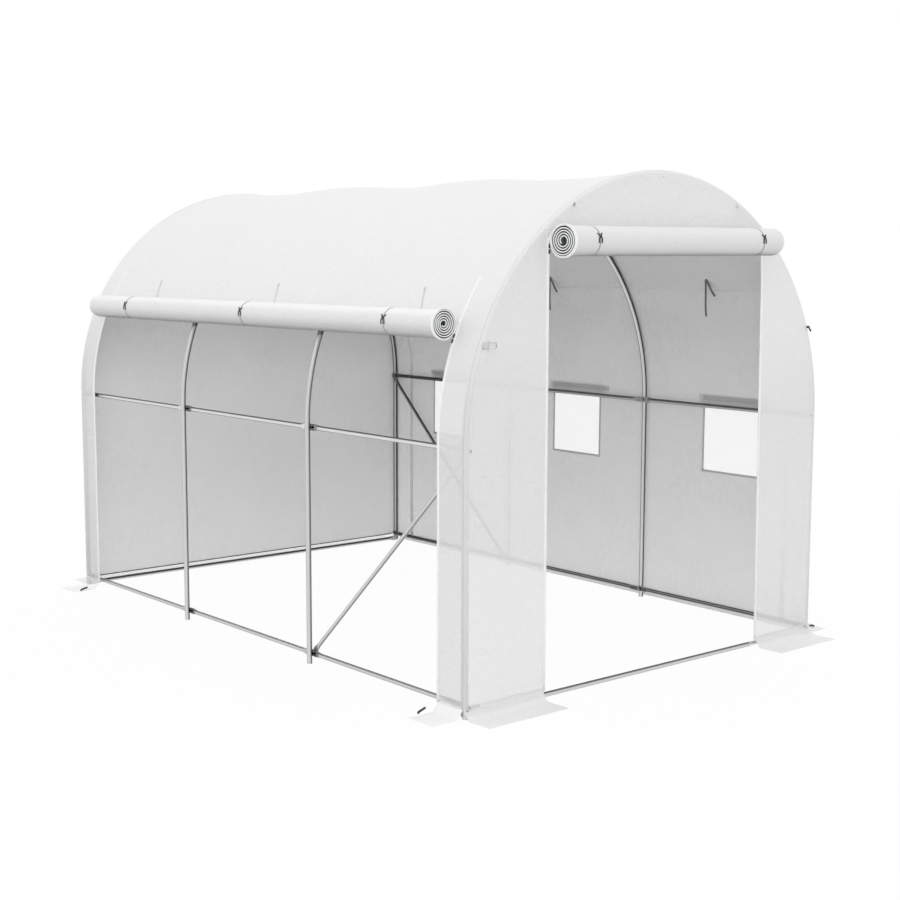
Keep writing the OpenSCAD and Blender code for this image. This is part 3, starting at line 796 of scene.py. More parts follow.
# Bindings: white woven tape folded over the free edges of the left-hand strips and of the doorway,
# and stitched through.
BINDING_W, BINDING_T, BINDING_OUT = 0.013, 0.0036, 0.0008
BINDING_TOP_ANGLE, BINDING_TOP_GAP = 37, 0.02
TAPE_STEP = 0.03
# The tape's ribs and its cloudy tone
RIB_SCALE, RIB_BUMP, RIB_DEPTH = 190.0, 0.25, 0.0004
TONE_SCALE, TONE_DARK, TAPE_GLOSS = 30.0, 0.94, 0.25


def unit(v):
    return v / np.linalg.norm(v, axis=-1, keepdims=True)


def ribbon(path, across, width, thick):
    """Points and faces of a flat band, or a cord where both sizes are equal, along a path."""
    path = np.asarray(path, float)
    across = np.broadcast_to(np.asarray(across, float), path.shape)
    along = unit(np.gradient(path, axis=0))
    face = unit(np.cross(along, across))
    side = np.cross(face, along)
    w, t = width / 2, thick / 2
    section = [
        (w, -t / 2), (w, t / 2), (w - t / 2, t), (t / 2 - w, t),
        (-w, t / 2), (-w, -t / 2), (t / 2 - w, -t), (w - t / 2, -t)]
    points = np.stack([path + a * side + b * face for a, b in section], 1)
    rows, count = points.shape[:2]
    faces = []
    for i in range(rows - 1):
        for j in range(count):
            k = (j + 1) % count
            faces.append([i * count + j, i * count + k, (i + 1) * count + k, (i + 1) * count + j])
    faces += [list(range(count))[::-1], list(range((rows - 1) * count, rows * count))]
    return points.reshape(-1, 3), faces


def face_outwards(mesh):
    """Turns all faces of closed shells outwards and smooths them."""
    tidy = bmesh.new()
    tidy.from_mesh(mesh)
    bmesh.ops.recalc_face_normals(tidy, faces=tidy.faces)
    tidy.to_mesh(mesh)
    tidy.free()
    mesh.shade_smooth()


def joined(name, parts, material):
    """One mesh of several closed parts, each with its faces outwards."""
    points, faces, start = [], [], 0
    for part_points, part_faces in parts:
        points.append(part_points)
        faces += [[start + i for i in face] for face in part_faces]
        start += len(part_points)
    mesh = mesh_of(name, np.concatenate(points), faces, material)
    face_outwards(mesh)
    return mesh


def trim(name, parts, material, node=None):
    """A piece of tape, webbing or wire in several parts and the node that it stands for."""
    piece = show(name, joined(name, parts, material))
    if node:
        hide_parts(node)
    return piece


def tape_material(name, colour, roughness=0.6):
    """Woven tape: fine ribs and a slightly uneven tone."""
    material, tree, shader = new_material(name)
    place = add_node(tree, "ShaderNodeTexCoord").outputs["Object"]
    ribs = add_node(
        tree, "ShaderNodeTexWave", {"Vector": place, "Scale": RIB_SCALE, "Distortion": 0.6},
        wave_type="BANDS", bands_direction="DIAGONAL")
    cloud = add_node(tree, "ShaderNodeTexNoise", {"Vector": place, "Scale": TONE_SCALE, "Detail": 3.0})
    tone = ramp(tree, cloud.outputs["Fac"], [(0.3, darker(colour, TONE_DARK)), (0.65, colour)])
    tree.links.new(tone, shader.inputs["Base Color"])
    bump = add_node(
        tree, "ShaderNodeBump", {"Strength": RIB_BUMP, "Distance": RIB_DEPTH, "Height": ribs.outputs["Fac"]})
    tree.links.new(bump.outputs["Normal"], shader.inputs["Normal"])
    shader.inputs["Roughness"].default_value = roughness
    shader.inputs["Specular IOR Level"].default_value = TAPE_GLOSS
    return material


white_tape = tape_material("white_tape", WHITE)


def on_skin(s, y, out=0.0):
    """A point of the skin at s and y, that far outside the side sheets."""
    x, z, out_x, out_z = skin(np.asarray(s, float))
    inward = LAYER + sag(np.asarray(s, float), np.asarray(y, float)) - out
    return np.stack([x - inward * out_x, np.broadcast_to(y, np.shape(x)), z - inward * out_z], -1)


def on_front(x, z, out=0.0):
    """A point of the front sheets, that far outside them."""
    x, z = np.broadcast_arrays(np.asarray(x, float), np.asarray(z, float))
    inside = hoop_r - np.hypot(x, np.maximum(z - spring_z, 0))
    hollow = 1 - np.exp(-np.clip(inside, 0, None) / END_DIP_REACH)
    return np.stack([x, hoop_y[0] - rim_r + END_DIP * hollow - out, z], -1)


binding_parts = []
left_edge_s = skin_length - spread(HEM_Z, at_angle(BINDING_TOP_ANGLE), TAPE_STEP)
for y in (strip_edge, -strip_edge):
    binding_parts.append(ribbon(on_skin(left_edge_s, y, BINDING_OUT), (0, 1, 0), BINDING_W, BINDING_T))
door_edge_z = spread(HEM_Z, corner_z - BINDING_TOP_GAP, TAPE_STEP)
# The binding's loose top end curls in over the left-hand corner of the doorway
CURL_FROM, CURL_RUN, CURL = 1.70, 0.04, 0.010
for side in (-1, 1):
    curl = CURL * np.clip((door_edge_z - CURL_FROM) / CURL_RUN, 0, None) ** 2 * (side < 0)
    edge_x = door_edge(side, door_edge_z) - side * BINDING_W / 3 + curl
    binding_parts.append(ribbon(on_front(edge_x, door_edge_z, curl / 2), (1, 0, 0), BINDING_W, BINDING_T))
trim("edge_bindings", binding_parts, white_tape)

# Rolled-up side and door: each flap hangs from its hem and is wound outwards from its free edge into
# a loose roll. The bound edges show as a spiral at the ends, round a hollow core, and the inner turns get
# painted shade.
ROLL_SHEET_T = 0.0014
EDGE_W = 0.011
EDGE_T, TIGHT_EDGE_T = 0.0047, 0.0031
TIGHT_PITCH = 0.0033
STEPS_PER_TURN = 36
PINCH, PINCH_W = 0.04, 0.022
# Where a roll's rings lie, from each end and from each tie
END_STEPS = (0, 0.0009, 0.0024, 0.006, EDGE_W - 0.001, EDGE_W + 0.002, 0.02, 0.03)
TIE_STEPS = (-0.04, -0.022, -0.011, 0, 0.011, 0.022, 0.04)
END_CLEAR, RING_CLEAR, RING_STEP = 0.05, 0.008, 0.045
# Lumps and ripples along a roll as shares of its radius, its slack, and how its ends flare and narrow
LUMP, LUMP_RATE, WAVE, WAVE_RATE, SLACK = 0.011, 5.5, 0.006, 17, 0.994
FLARE_W, FAR_NIP, FAR_NIP_W, LEAN_W = 0.03, 0.10, 0.012, 0.04
# The cut edge is thinner, the core lies deeper than the rim, and past the rim the inner turns get painted
# shade
CUT_SHARE, CORE_DEEPER, RIM_DEPTH, SHADE_FROM = 0.7, 0.004, 0.0015, 0.97
ROLL_SHARP = math.radians(60)
ROLL_WHITE = (0.96, 0.96, 0.96, 1)
ROLL_SHADE = (0.26, 0.31, 0.32, 1)
# Painted light and shade by slope, each roll with its own: bright along the top, and dark under the roll
# where the flap passes beneath it
SIDE_ROUNDING = [
    (-1, 0.26), (-0.95, 0.29), (-0.88, 0.41), (-0.7, 0.6), (-0.5, 0.69), (0, 0.855), (0.5, 0.91),
    (0.8, 1), (1, 0.97)]
DOOR_ROUNDING = [
    (-1, 0.3), (-0.95, 0.34), (-0.87, 0.55), (-0.75, 0.7), (-0.6, 0.78), (-0.4, 0.825), (0, 0.86),
    (0.4, 0.885), (1, 0.92)]
side_sheet = cover_material("cover_sheet_side_roll", ROLL_WHITE, rounding=SIDE_ROUNDING)
door_sheet = cover_material("cover_sheet_door_roll", ROLL_WHITE, rounding=DOOR_ROUNDING)
roll_inside_shade = cover_material("cover_sheet_roll_inside_shade", ROLL_SHADE)


class Roll:
    """A wound sheet: its section from the hem inwards, and its places along the roll."""

    def __init__(
            self, origin, along, out, radius, core_r, length, lead, tight_turns, open_turns, ties, seed,
            flare=0.08, slant=0.0):
        self.origin, self.along, self.out = (np.asarray(v, float) for v in (origin, along, out))
        self.radius, self.length, self.ties, self.seed = radius, length, ties, seed
        self.tight_turns, self.turns = tight_turns, tight_turns + open_turns
        self.flare, self.slant = flare, slant
        self.first_r = radius - ROLL_SHEET_T / 2
        self.open_pitch = (self.first_r - tight_turns * TIGHT_PITCH - core_r) / open_turns
        lead = np.asarray(lead, float)
        last = lead[-1]
        self.start = math.atan2(last[1], last[0]) + math.acos(min(1, self.first_r / np.linalg.norm(last)))
        turn = np.linspace(0, self.turns, 1 + round(self.turns * STEPS_PER_TURN))
        angle = self.start + 2 * np.pi * turn
        wound = self.radius_at(turn)[:, None] * np.stack([np.cos(angle), np.sin(angle)], -1)
        self.line = np.concatenate([lead, wound])
        self.angle = np.concatenate([np.full(len(lead), self.start), angle])
        self.turn = np.concatenate([np.zeros(len(lead)), turn])
        self.on_roll = np.concatenate([np.zeros(len(lead)), np.clip(turn * 8, 0, 1)])
        slope = unit(np.gradient(self.line, axis=0))
        self.normal = np.stack([-slope[:, 1], slope[:, 0]], -1)

    def radius_at(self, turn):
        tight = np.minimum(turn, self.tight_turns)
        return self.first_r - TIGHT_PITCH * tight - self.open_pitch * (turn - tight)

    def swell(self, at, angle):
        """How the roll's thickness wavers along it and round it, nipped in at its ties and ends."""
        lumps = [
            LUMP * noise.noise(Vector((LUMP_RATE * at, math.cos(a), math.sin(a) + self.seed)))
            + WAVE * noise.noise(Vector((WAVE_RATE * at, 2 * math.cos(a), 2 * math.sin(a) - self.seed)))
            for a in np.ravel(angle)]
        nip = sum(PINCH * math.exp(-(((at - tie) / PINCH_W) ** 2)) for tie in self.ties)
        end = self.length / 2 - abs(at)
        share, width = (self.flare, FLARE_W) if at < 0 else (-FAR_NIP, FAR_NIP_W)
        flare = share * math.exp(-((end / width) ** 2))
        return SLACK + np.reshape(lumps, np.shape(angle)) - nip + flare

    def place(self, section, at):
        """Points of a section, given outwards and upwards from the roll's middle, at places along it."""
        section = np.asarray(section, float)
        up = np.array([0.0, 0.0, 1.0])
        across = section[..., :1] * self.out + section[..., 1:] * up
        return self.origin + across + np.asarray(at)[..., None] * self.along

    def outside(self, at, degrees, lift):
        """A point on the outermost turn, lifted off it."""
        angle = math.radians(degrees)
        turn = ((angle - self.start) / (2 * math.pi)) % 1
        r = self.radius_at(turn) * self.swell(at, np.array([angle]))[0] + ROLL_SHEET_T / 2 + lift
        return self.place(np.array([r * math.cos(angle), r * math.sin(angle)]), np.array(at))

    def stations(self, step):
        """Places along the roll for its rings: close at the ends and ties, and even between them."""
        half = self.length / 2
        ends = [-half + e for e in END_STEPS] + [half - e for e in END_STEPS]
        near = [tie + d for tie in self.ties for d in TIE_STEPS]
        even = spread(-half + END_CLEAR, half - END_CLEAR, step)
        body = [a for a in even if all(abs(a - n) > RING_CLEAR for n in near)]
        return np.array(sorted(ends + near + body))

    def mesh(self, name, material, inside, step=RING_STEP):
        """The sheet as a closed shell, bound at both ends, with its map in metres."""
        at = self.stations(step)
        rings, maps = [], []
        run = np.concatenate([[0], np.cumsum(np.linalg.norm(np.diff(self.line, axis=0), axis=1))])
        for a in at:
            end = self.length / 2 - abs(a)
            scale = 1 + self.on_roll * (self.swell(a, self.angle) - 1)
            bound = np.where(self.turn < self.tight_turns, TIGHT_EDGE_T, EDGE_T)
            thick = np.where(end <= EDGE_W, bound, ROLL_SHEET_T) * (CUT_SHARE if end < 1e-6 else 1)
            line = self.line * scale[:, None]
            lean = self.slant * math.exp(-((end / LEAN_W) ** 2)) * (a < 0)
            deeper = a * (1 - CORE_DEEPER * self.turn / self.turns)
            recess = deeper - lean * (1 - self.line[:, 0] / self.radius) / 2
            outer = self.place(line + self.normal * thick[:, None] / 2, recess)
            inner = self.place(line - self.normal * thick[:, None] / 2, recess)
            rings.append(np.concatenate([outer, inner[::-1]]))
            maps.append(np.stack([np.full(2 * len(run), a), np.concatenate([run, run[::-1]])], -1))
        count, ring = len(self.line), 2 * len(self.line)
        turn = np.concatenate([self.turn, self.turn[::-1]])
        faces, shaded = [], []
        for i in range(len(at) - 1):
            reached = sorted(self.length / 2 - abs(a) for a in at[i:i + 2])
            deep, bound = reached[0] > RIM_DEPTH, reached[1] <= EDGE_W
            for j in range(ring):
                k = (j + 1) % ring
                faces.append([i * ring + j, i * ring + k, (i + 1) * ring + k, (i + 1) * ring + j])
                # Inner turns past the rim take the painted shade, and the tight bound turns at the ends the
                # white tape
                dark, taped = deep and turn[j] > SHADE_FROM, bound and turn[j] < self.tight_turns
                shaded.append(1 if dark else 2 if taped else 0)
        for i, flip in ((0, True), (len(at) - 1, False)):
            for j in range(count - 1):
                cap = [i * ring + j, i * ring + j + 1, i * ring + ring - 2 - j, i * ring + ring - 1 - j]
                faces.append(cap[::-1] if flip else cap)
                shaded.append(2)
        mesh = bpy.data.meshes.new(name)
        mesh.from_pydata(np.concatenate(rings).tolist(), [], faces)
        for layer_material in (material, inside, white_tape):
            mesh.materials.append(layer_material)
        mesh.polygons.foreach_set("material_index", np.array(shaded, int))
        map_in_metres(mesh, np.concatenate(maps))
        face_outwards(mesh)
        mesh.set_sharp_from_angle(angle=ROLL_SHARP)
        self.wound_length = run[-1]
        return mesh


SIDE_ROLL_D, DOOR_ROLL_D = 0.108, 0.114
SIDE_CORE_R, DOOR_CORE_R = 0.008, 0.012
# Turns that lie tight round the outside, and looser ones inside them
SIDE_TIGHT, SIDE_TURNS = 1.3, 5.0
DOOR_TIGHT, DOOR_TURNS, DOOR_FLARE, DOOR_SLANT = 1.7, 4.4, 0.10, 0.016
SIDE_ROLL_SEED, DOOR_ROLL_SEED = 3.3, 6.1
# Small shifts of the rolls from their solids: up, the door's more on the right, and the side's forwards
SIDE_LIFT, DOOR_LIFT, DOOR_TILT, SIDE_REACH = 0.0075, 0.006, 0.005, 0.017
# How far the solid ties stand off their rolls, and their width
TIE_REACH, TIE_NODE_W = 0.0023, 0.02
TIE_SHIFT = np.array([-0.033, -0.041, -0.029])
side_tie_lo, side_tie_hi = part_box("side_roll_ties")
door_tie_lo, door_tie_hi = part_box("door_roll_ties")
side_tie_y = np.linspace(side_tie_lo.y + TIE_NODE_W / 2, side_tie_hi.y - TIE_NODE_W / 2, 3) + TIE_SHIFT
door_tie_x = (door_tie_lo.x + TIE_NODE_W / 2, door_tie_hi.x - TIE_NODE_W / 2)

side_roll_lo, side_roll_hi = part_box("left_side_roll")
side_roll_x = side_tie_lo.x + TIE_REACH + SIDE_ROLL_D / 2
side_roll_z = side_tie_lo.z + TIE_REACH + SIDE_ROLL_D / 2 + SIDE_LIFT
side_roll_y = (side_roll_lo.y + side_roll_hi.y - SIDE_REACH) / 2
# The flap is sewn in under the roof's edge, below its deepest sag
HANG_FROM, HANG_TO, HANG_DEPTH = TUCK_ANGLE + 2.5, TUCK_ANGLE + 0.3, 0.0068
hang = np.radians(np.linspace(HANG_FROM, HANG_TO, 6))
hang_r = cover_r - HANG_DEPTH
side_lead = np.stack([
    side_roll_x + hang_r * np.cos(hang),
    spring_z + hang_r * np.sin(hang) - side_roll_z], -1)
side_roll = Roll(
    origin=(side_roll_x, side_roll_y, side_roll_z), along=(0, 1, 0), out=(-1, 0, 0), radius=SIDE_ROLL_D / 2,
    core_r=SIDE_CORE_R, length=side_roll_hi.y - side_roll_lo.y + SIDE_REACH, lead=side_lead,
    tight_turns=SIDE_TIGHT, open_turns=SIDE_TURNS, ties=side_tie_y - side_roll_y, seed=SIDE_ROLL_SEED)
left_flap = show("left_side_flap", side_roll.mesh("left_side_flap", side_sheet, roll_inside_shade))
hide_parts("left_side_roll")

door_roll_lo, door_roll_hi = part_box("door_roll")
door_roll_x = (door_roll_lo.x + door_roll_hi.x) / 2
door_roll_y = door_tie_lo.y + TIE_REACH + DOOR_ROLL_D / 2
door_roll_z = door_tie_lo.z + TIE_REACH + DOOR_ROLL_D / 2 + DOOR_LIFT
# The door hangs from a hem on the gable's face, just above its foot
HEM_LAP, HEM_END, HEM_OUT = 0.03, 0.002, 0.0009
door_foot_y = on_front(0.0, gable_foot_z, HEM_OUT)[1]
door_lead = np.stack([
    np.full(5, door_roll_y - door_foot_y),
    np.linspace(gable_foot_z + HEM_LAP, gable_foot_z + HEM_END, 5) - door_roll_z], -1)
door_roll = Roll(
    origin=(door_roll_x, door_roll_y, door_roll_z), along=(1, 0, DOOR_TILT), out=(0, -1, 0),
    radius=DOOR_ROLL_D / 2, core_r=DOOR_CORE_R, length=door_roll_hi.x - door_roll_lo.x, lead=door_lead,
    tight_turns=DOOR_TIGHT, open_turns=DOOR_TURNS, ties=np.array(door_tie_x) - door_roll_x,
    seed=DOOR_ROLL_SEED, flare=DOOR_FLARE, slant=DOOR_SLANT)
door_flap = show("door_flap", door_roll.mesh("door_flap", door_sheet, roll_inside_shade))
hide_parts("door_roll")

# The side's ties: narrow woven webbing sewn on above the roll, passed behind and under it and up its
# front, and knotted there in a cross with four short tails.
TIE_W, TIE_T, TIE_LIFT = 0.0048, 0.001, 0.0002
TIE_FROM, SIDE_TO, DOOR_TO = -148, 88, 76
# The knot's tails: half their length, where they cross, how far they spread and how they pile up
KNOT_HALF, KNOT_W, KNOT_T, KNOT_ANGLE, KNOT_CROSS = 0.0195, 0.0054, 0.0013, 11, 0.3
KNOT_LIFT, KNOT_PILE, KNOT_PILE_W = 0.0014, 0.0012, 0.3
SIDE_SPREAD, DOOR_SPREAD = 0.013, 0.0105
HITCH_HALF, HITCH_W, HITCH_T, HITCH_LIFT, HITCH_BOW = 0.005, 0.006, 0.0022, 0.0046, 60
# One webbing painted in three tones by where it lies, as painted light and shade: pale on the roof and the
# gable, grey round the rolls, near black in the knots
WEBBING_DARK, CORD_GREY, CORD_PALE = (0.06, 0.06, 0.065, 1), (0.42, 0.42, 0.43, 1), (0.78, 0.78, 0.78, 1)
WEBBING_ROUGHNESS = 0.75
webbing = tape_material("tie_webbing", WEBBING_DARK, WEBBING_ROUGHNESS)
grey_webbing = tape_material("tie_webbing_grey", CORD_GREY, WEBBING_ROUGHNESS)
pale_webbing = tape_material("tie_webbing_pale", CORD_PALE, WEBBING_ROUGHNESS)


def band_round(roll, at, end):
    """The middle line of a tie round the outside of the roll, from behind it, under it and up its front."""
    return [roll.outside(at, a, TIE_T / 2 + TIE_LIFT) for a in np.linspace(TIE_FROM, end, 44)]


def crossed_knot(roll, at, spread_to):
    """Two crossing tails on the roll's front and the hitch that holds them."""
    parts = []
    for lean in (-1, 1):
        strand = []
        for v in np.linspace(-1, 1, 21):
            degrees = KNOT_ANGLE + math.degrees(v * KNOT_HALF / roll.radius)
            pile = KNOT_PILE * math.exp(-(((v - KNOT_CROSS) / KNOT_PILE_W) ** 2)) * (2 if lean > 0 else 1)
            aside = lean * spread_to * min(1, max(-0.7, 1.6 * (v - KNOT_CROSS)))
            strand.append(roll.outside(at + aside, degrees, KNOT_LIFT + pile))
        parts.append(ribbon(strand, roll.along, KNOT_W, KNOT_T))
    cross = KNOT_ANGLE + math.degrees(KNOT_CROSS * KNOT_HALF / roll.radius)
    hitch = [
        roll.outside(at + d, cross, HITCH_LIFT - HITCH_BOW * d * d)
        for d in np.linspace(-HITCH_HALF, HITCH_HALF, 7)]
    parts.append(ribbon(hitch, (0, 0, 1), HITCH_W, HITCH_T))
    return parts


side_band_parts, side_knot_parts = [], []
for at in side_roll.ties:
    side_band_parts.append(ribbon(band_round(side_roll, at, SIDE_TO), side_roll.along, TIE_W, TIE_T))
    side_knot_parts += crossed_knot(side_roll, at, SIDE_SPREAD)
# The ends that come down the roof to the roll, a little in front of each knot, sewn on at the top
STROKE_TOP, STROKE_FOOT, STROKE_STEP, STROKE_LEAN, STROKE_OUT = 33.7, 27.6, 0.016, 0.042, 0.0012
SEWN_RISE, SEWN_EXTRA, SEWN_T = 0.001, 0.002, 0.0016
stroke_parts = []
for at in side_tie_y:
    share = np.linspace(0, 1, 8)
    stroke_s = skin_length - at_angle(STROKE_TOP) + share * (at_angle(STROKE_TOP) - at_angle(STROKE_FOOT))
    stroke = on_skin(stroke_s, at - STROKE_STEP - STROKE_LEAN * share, LAYER + STROKE_OUT)
    stroke_parts.append(ribbon(stroke, (0, 1, 0), TIE_W, TIE_T))
    stroke_parts.append(ribbon(stroke[:2] + (0, 0, SEWN_RISE), (0, 1, 0), TIE_W + SEWN_EXTRA, SEWN_T))
trim("roof_tie_ends", stroke_parts, pale_webbing)
trim("side_ties", side_band_parts, grey_webbing, "side_roll_ties")
trim("side_tie_knots", side_knot_parts, webbing)

# The door's ties: webbing passed round the door's roll and knotted on its front. From there each runs up
# slack over the gable to a small hook of the same webbing that is sewn in at the rim.
DOOR_HOOKS = ((-0.480, 1.838), (0.438, 1.852))
HOOK_L, HOOK_W, HOOK_T, HOOK_OUT, HOOK_LEAN = 0.012, 0.007, 0.003, 0.004, 0.3
HUNG_W, HUNG_OUT, HUNG_SLACK = 0.0034, 0.003, 0.004
door_band_parts, door_knot_parts, door_hung_parts = [], [], []
for at, (hook_x, hook_z) in zip(door_tie_x, DOOR_HOOKS):
    band = np.array(band_round(door_roll, at - door_roll_x, DOOR_TO))
    reach = np.linspace(0, 1, 14)[1:, None]
    hung = band[-1] + reach * (on_front(hook_x, hook_z, HUNG_OUT) - band[-1])
    hung[:, 2] -= HUNG_SLACK * np.sin(np.pi * reach[:, 0])
    door_band_parts.append(ribbon(band, door_roll.along, TIE_W, TIE_T))
    door_hung_parts.append(ribbon(np.concatenate([band[-2:], hung]), (1, 0, 0.3), HUNG_W, TIE_T))
    door_knot_parts += crossed_knot(door_roll, at - door_roll_x, DOOR_SPREAD)
    rise = np.linspace(-HOOK_L / 2, HOOK_L / 2, 6)
    hook = on_front(hook_x - math.copysign(HOOK_LEAN, hook_x) * rise, hook_z + rise, HOOK_OUT)
    # The left-hand hook is as grey as the band, and the right-hand one as pale as the tie's end
    (door_band_parts if hook_x < 0 else door_hung_parts).append(ribbon(hook, (1, 0, 0), HOOK_W, HOOK_T))
trim("door_ties", door_band_parts, grey_webbing, "door_roll_ties")
trim("door_tie_ends", door_hung_parts, pale_webbing)
trim("door_tie_knots", door_knot_parts, webbing)

# Skirts: strips of the cover sewn on at the foot of each wall and spread outwards on the ground,
# where soil or pegs hold them down.
SKIRT_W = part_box("right_skirt")[1].x - cover_r
# How far it is sewn up the wall, the share of it that slopes down from the hem, and how it lies
SKIRT_TOP, SKIRT_FOLD, SKIRT_OUT, SKIRT_Z = 0.012, 0.17, 0.0012, 0.0014
SKIRT_RIPPLE, RIPPLE_RATE = 0.003, 7
# The right-hand front skirt reaches a little past its corner
CORNER_REACH = 0.012
# The left-hand skirts are painted whiter than the others, as painted light
SKIRT_WHITE, LEFT_SKIRT_LIT_WHITE = (0.90, 0.90, 0.90, 1), (0.98, 0.98, 0.98, 1)
# Solidity by height, from the ground up to where each is sewn on
FRONT_SKIRT_SOLID = [(0.0, 0.70), (0.006, 0.72), (0.012, 0.92), (0.05, 0.92)]
LEFT_SKIRT_SOLID = [(0.0, 0.42), (0.05, 0.7)]
RIGHT_SKIRT_SOLID = [(0.0, 0.70), (0.006, 0.66), (0.012, 0.55), (0.05, 0.6)]
BACK_SKIRT_SOLID = [(0.0, 0.70), (0.004, 0.6), (0.010, 0.12), (0.05, 0.12)]
skirt_sheet = cover_material("cover_sheet_skirts", SKIRT_WHITE, FRONT_SKIRT_SOLID)
side_skirt_sheet = cover_material("cover_sheet_side_skirts", LEFT_SKIRT_LIT_WHITE, LEFT_SKIRT_SOLID)
right_skirt_sheet = cover_material("cover_sheet_right_skirt", SKIRT_WHITE, RIGHT_SKIRT_SOLID)
back_skirt_sheet = cover_material("cover_sheet_back_skirt", SKIRT_WHITE, BACK_SKIRT_SOLID)


def skirt(name, node, runs, sheet):
    """A skirt along each run, given as (foot of the wall, its outward direction)."""
    fall = np.concatenate([[-1], np.linspace(0, SKIRT_FOLD, 6)[:-1], np.linspace(SKIRT_FOLD, 1, 10)])
    points, maps, faces, start = [], [], [], 0
    for foot, out in runs:
        rows, row_maps = [], []
        length = np.concatenate([[0], np.cumsum(np.linalg.norm(np.diff(foot, axis=0), axis=1))])
        for u in fall:
            away = SKIRT_W * max(u, 0)
            z = HEM_Z + SKIRT_TOP if u < 0 else SKIRT_Z + (HEM_Z - SKIRT_Z) * max(0, 1 - u / SKIRT_FOLD)
            ripple = np.array([
                0.5 + 0.5 * noise.noise(Vector((RIPPLE_RATE * p[0], RIPPLE_RATE * p[1], 3 * u)))
                for p in foot])
            row = foot + out * (SKIRT_OUT + away)
            row[:, 2] = z + SKIRT_RIPPLE * max(u, 0) ** 2 * ripple
            rows.append(row)
            row_maps.append(np.stack([length, np.full(len(length), away + max(-u, 0) * SKIRT_TOP)], -1))
        grid = np.stack(rows, 0)
        upwards = np.cross(grid[-1, 0] - grid[0, 0], foot[-1] - foot[0])[2] > 0
        faces.append(grid_faces(*grid.shape[:2], not upwards) + start)
        start += grid.shape[0] * grid.shape[1]
        points.append(grid.reshape(-1, 3))
        maps.append(np.stack(row_maps, 0).reshape(-1, 2))
    mesh = mesh_of(name, np.concatenate(points), np.concatenate(faces), sheet, np.concatenate(maps))
    piece = show(name, mesh)
    thicken(piece, wall_lining)
    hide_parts(node)


def line(start, end):
    count = max(2, 1 + math.ceil(math.dist(start, end) / TAPE_STEP))
    return np.linspace(start, end, count)


right_out, front_out = np.array([1.0, 0, 0]), np.array([0, -1.0, 0])
wall_x = cover_r - LAYER
front_y, back_y = hoop_y[0] - rim_r + END_DIP, hoop_y[-1] + rim_r - END_DIP
door_foot_x = float(door_edge(1, HEM_Z))
skirt("front_ground_skirts", "front_skirts", [
    (line((-wall_x, front_y, 0), (-door_half, front_y, 0)), front_out),
    (line((door_foot_x, front_y, 0), (wall_x + CORNER_REACH, front_y, 0)), front_out)],
    skirt_sheet)
skirt("left_ground_skirts", "left_skirts", [
    (line((-wall_x, hoop_y[0], 0), (-wall_x, strip_edge, 0)), -right_out),
    (line((-wall_x, -strip_edge, 0), (-wall_x, hoop_y[-1], 0)), -right_out)],
    side_skirt_sheet)
skirt("right_ground_skirt", "right_skirt", [
    (line((wall_x, hoop_y[0], 0), (wall_x, hoop_y[-1], 0)), right_out)],
    right_skirt_sheet)
skirt("back_ground_skirt", "back_skirt", [
    (line((-wall_x, back_y, 0), (wall_x, back_y, 0)), -front_out)],
    back_skirt_sheet)
# A thin dark grey tape along the inside of the back wall's hem: a painted shadow line at its foot
HEM_W, HEM_T, HEM_END_GAP, HEM_SHADOW_GREY = 0.005, 0.0012, 0.03, (0.13, 0.13, 0.135, 1)
hem_x, hem_y, hem_z = hoop_r - HEM_END_GAP, back_y - SHEET_T - HEM_T, HEM_Z + HEM_W / 2
hem_line = line((-hem_x, hem_y, hem_z), (hem_x, hem_y, hem_z))
hem_shadow_tape = tape_material("hem_shadow_tape", HEM_SHADOW_GREY)
trim("back_hem_shadow", [ribbon(hem_line, (0, 0, 1), HEM_W, HEM_T)], hem_shadow_tape)

# Windows: fine white insect net, woven of plastic thread and stretched in each opening.
# A border of grey woven tape, sewn round the opening, holds it.
NET_SIZES = {"Thread thickness": 0.00023}
NET_PITCH = 0.003
NET_WHITE, BORDER_GREY = (0.97, 0.97, 0.97, 1), (0.60, 0.60, 0.64, 1)
BORDER_W, BORDER_T = 0.0105, 0.0026
insect_net = tape_material("insect_net", NET_WHITE)
border_tape = tape_material("border_tape", BORDER_GREY)
net_tree, net_size, net_end = size_tool("net_threads", NET_SIZES)
span = add_node(net_tree, "GeometryNodeInputNamedAttribute", {"Name": "span"}, data_type="FLOAT_VECTOR")
thick = net_size["Thread thickness"]
around = add_node(net_tree, "ShaderNodeCombineXYZ", {"X": thick, "Y": thick, "Z": thick})
thread_size = add_node(
    net_tree, "ShaderNodeVectorMath", {0: span.outputs["Attribute"], 1: around.outputs[0]}, operation="ADD")
thread = add_node(net_tree, "GeometryNodeMeshCube", {"Size": (1, 1, 1)})
threads = add_node(net_tree, "GeometryNodeInstanceOnPoints", {
    "Points": net_size["Geometry"], "Instance": thread.outputs["Mesh"], "Scale": thread_size.outputs[0]})
end_tool(net_tree, threads.outputs[0], insect_net, net_end)
net_x = cover_r - LAYER - SHEET_T - WALL_SAG / 2
window_h = net_hi.z - net_lo.z
thread_at, thread_span = [], []
for middle in window_middles:
    for y in np.arange(middle - window_w / 2, middle + window_w / 2 + 1e-6, NET_PITCH):
        thread_at.append((net_x, y, net_lo.z + window_h / 2))
        thread_span.append((0, 0, window_h))
    for z in np.arange(net_lo.z, net_hi.z + 1e-6, NET_PITCH):
        thread_at.append((net_x + NET_SIZES["Thread thickness"], middle, z))
        thread_span.append((0, window_w, 0))
nets = grow("window_net_threads", points_mesh("threads", thread_at, span=thread_span), net_tree, NET_SIZES)
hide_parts("window_nets")
border_parts = []
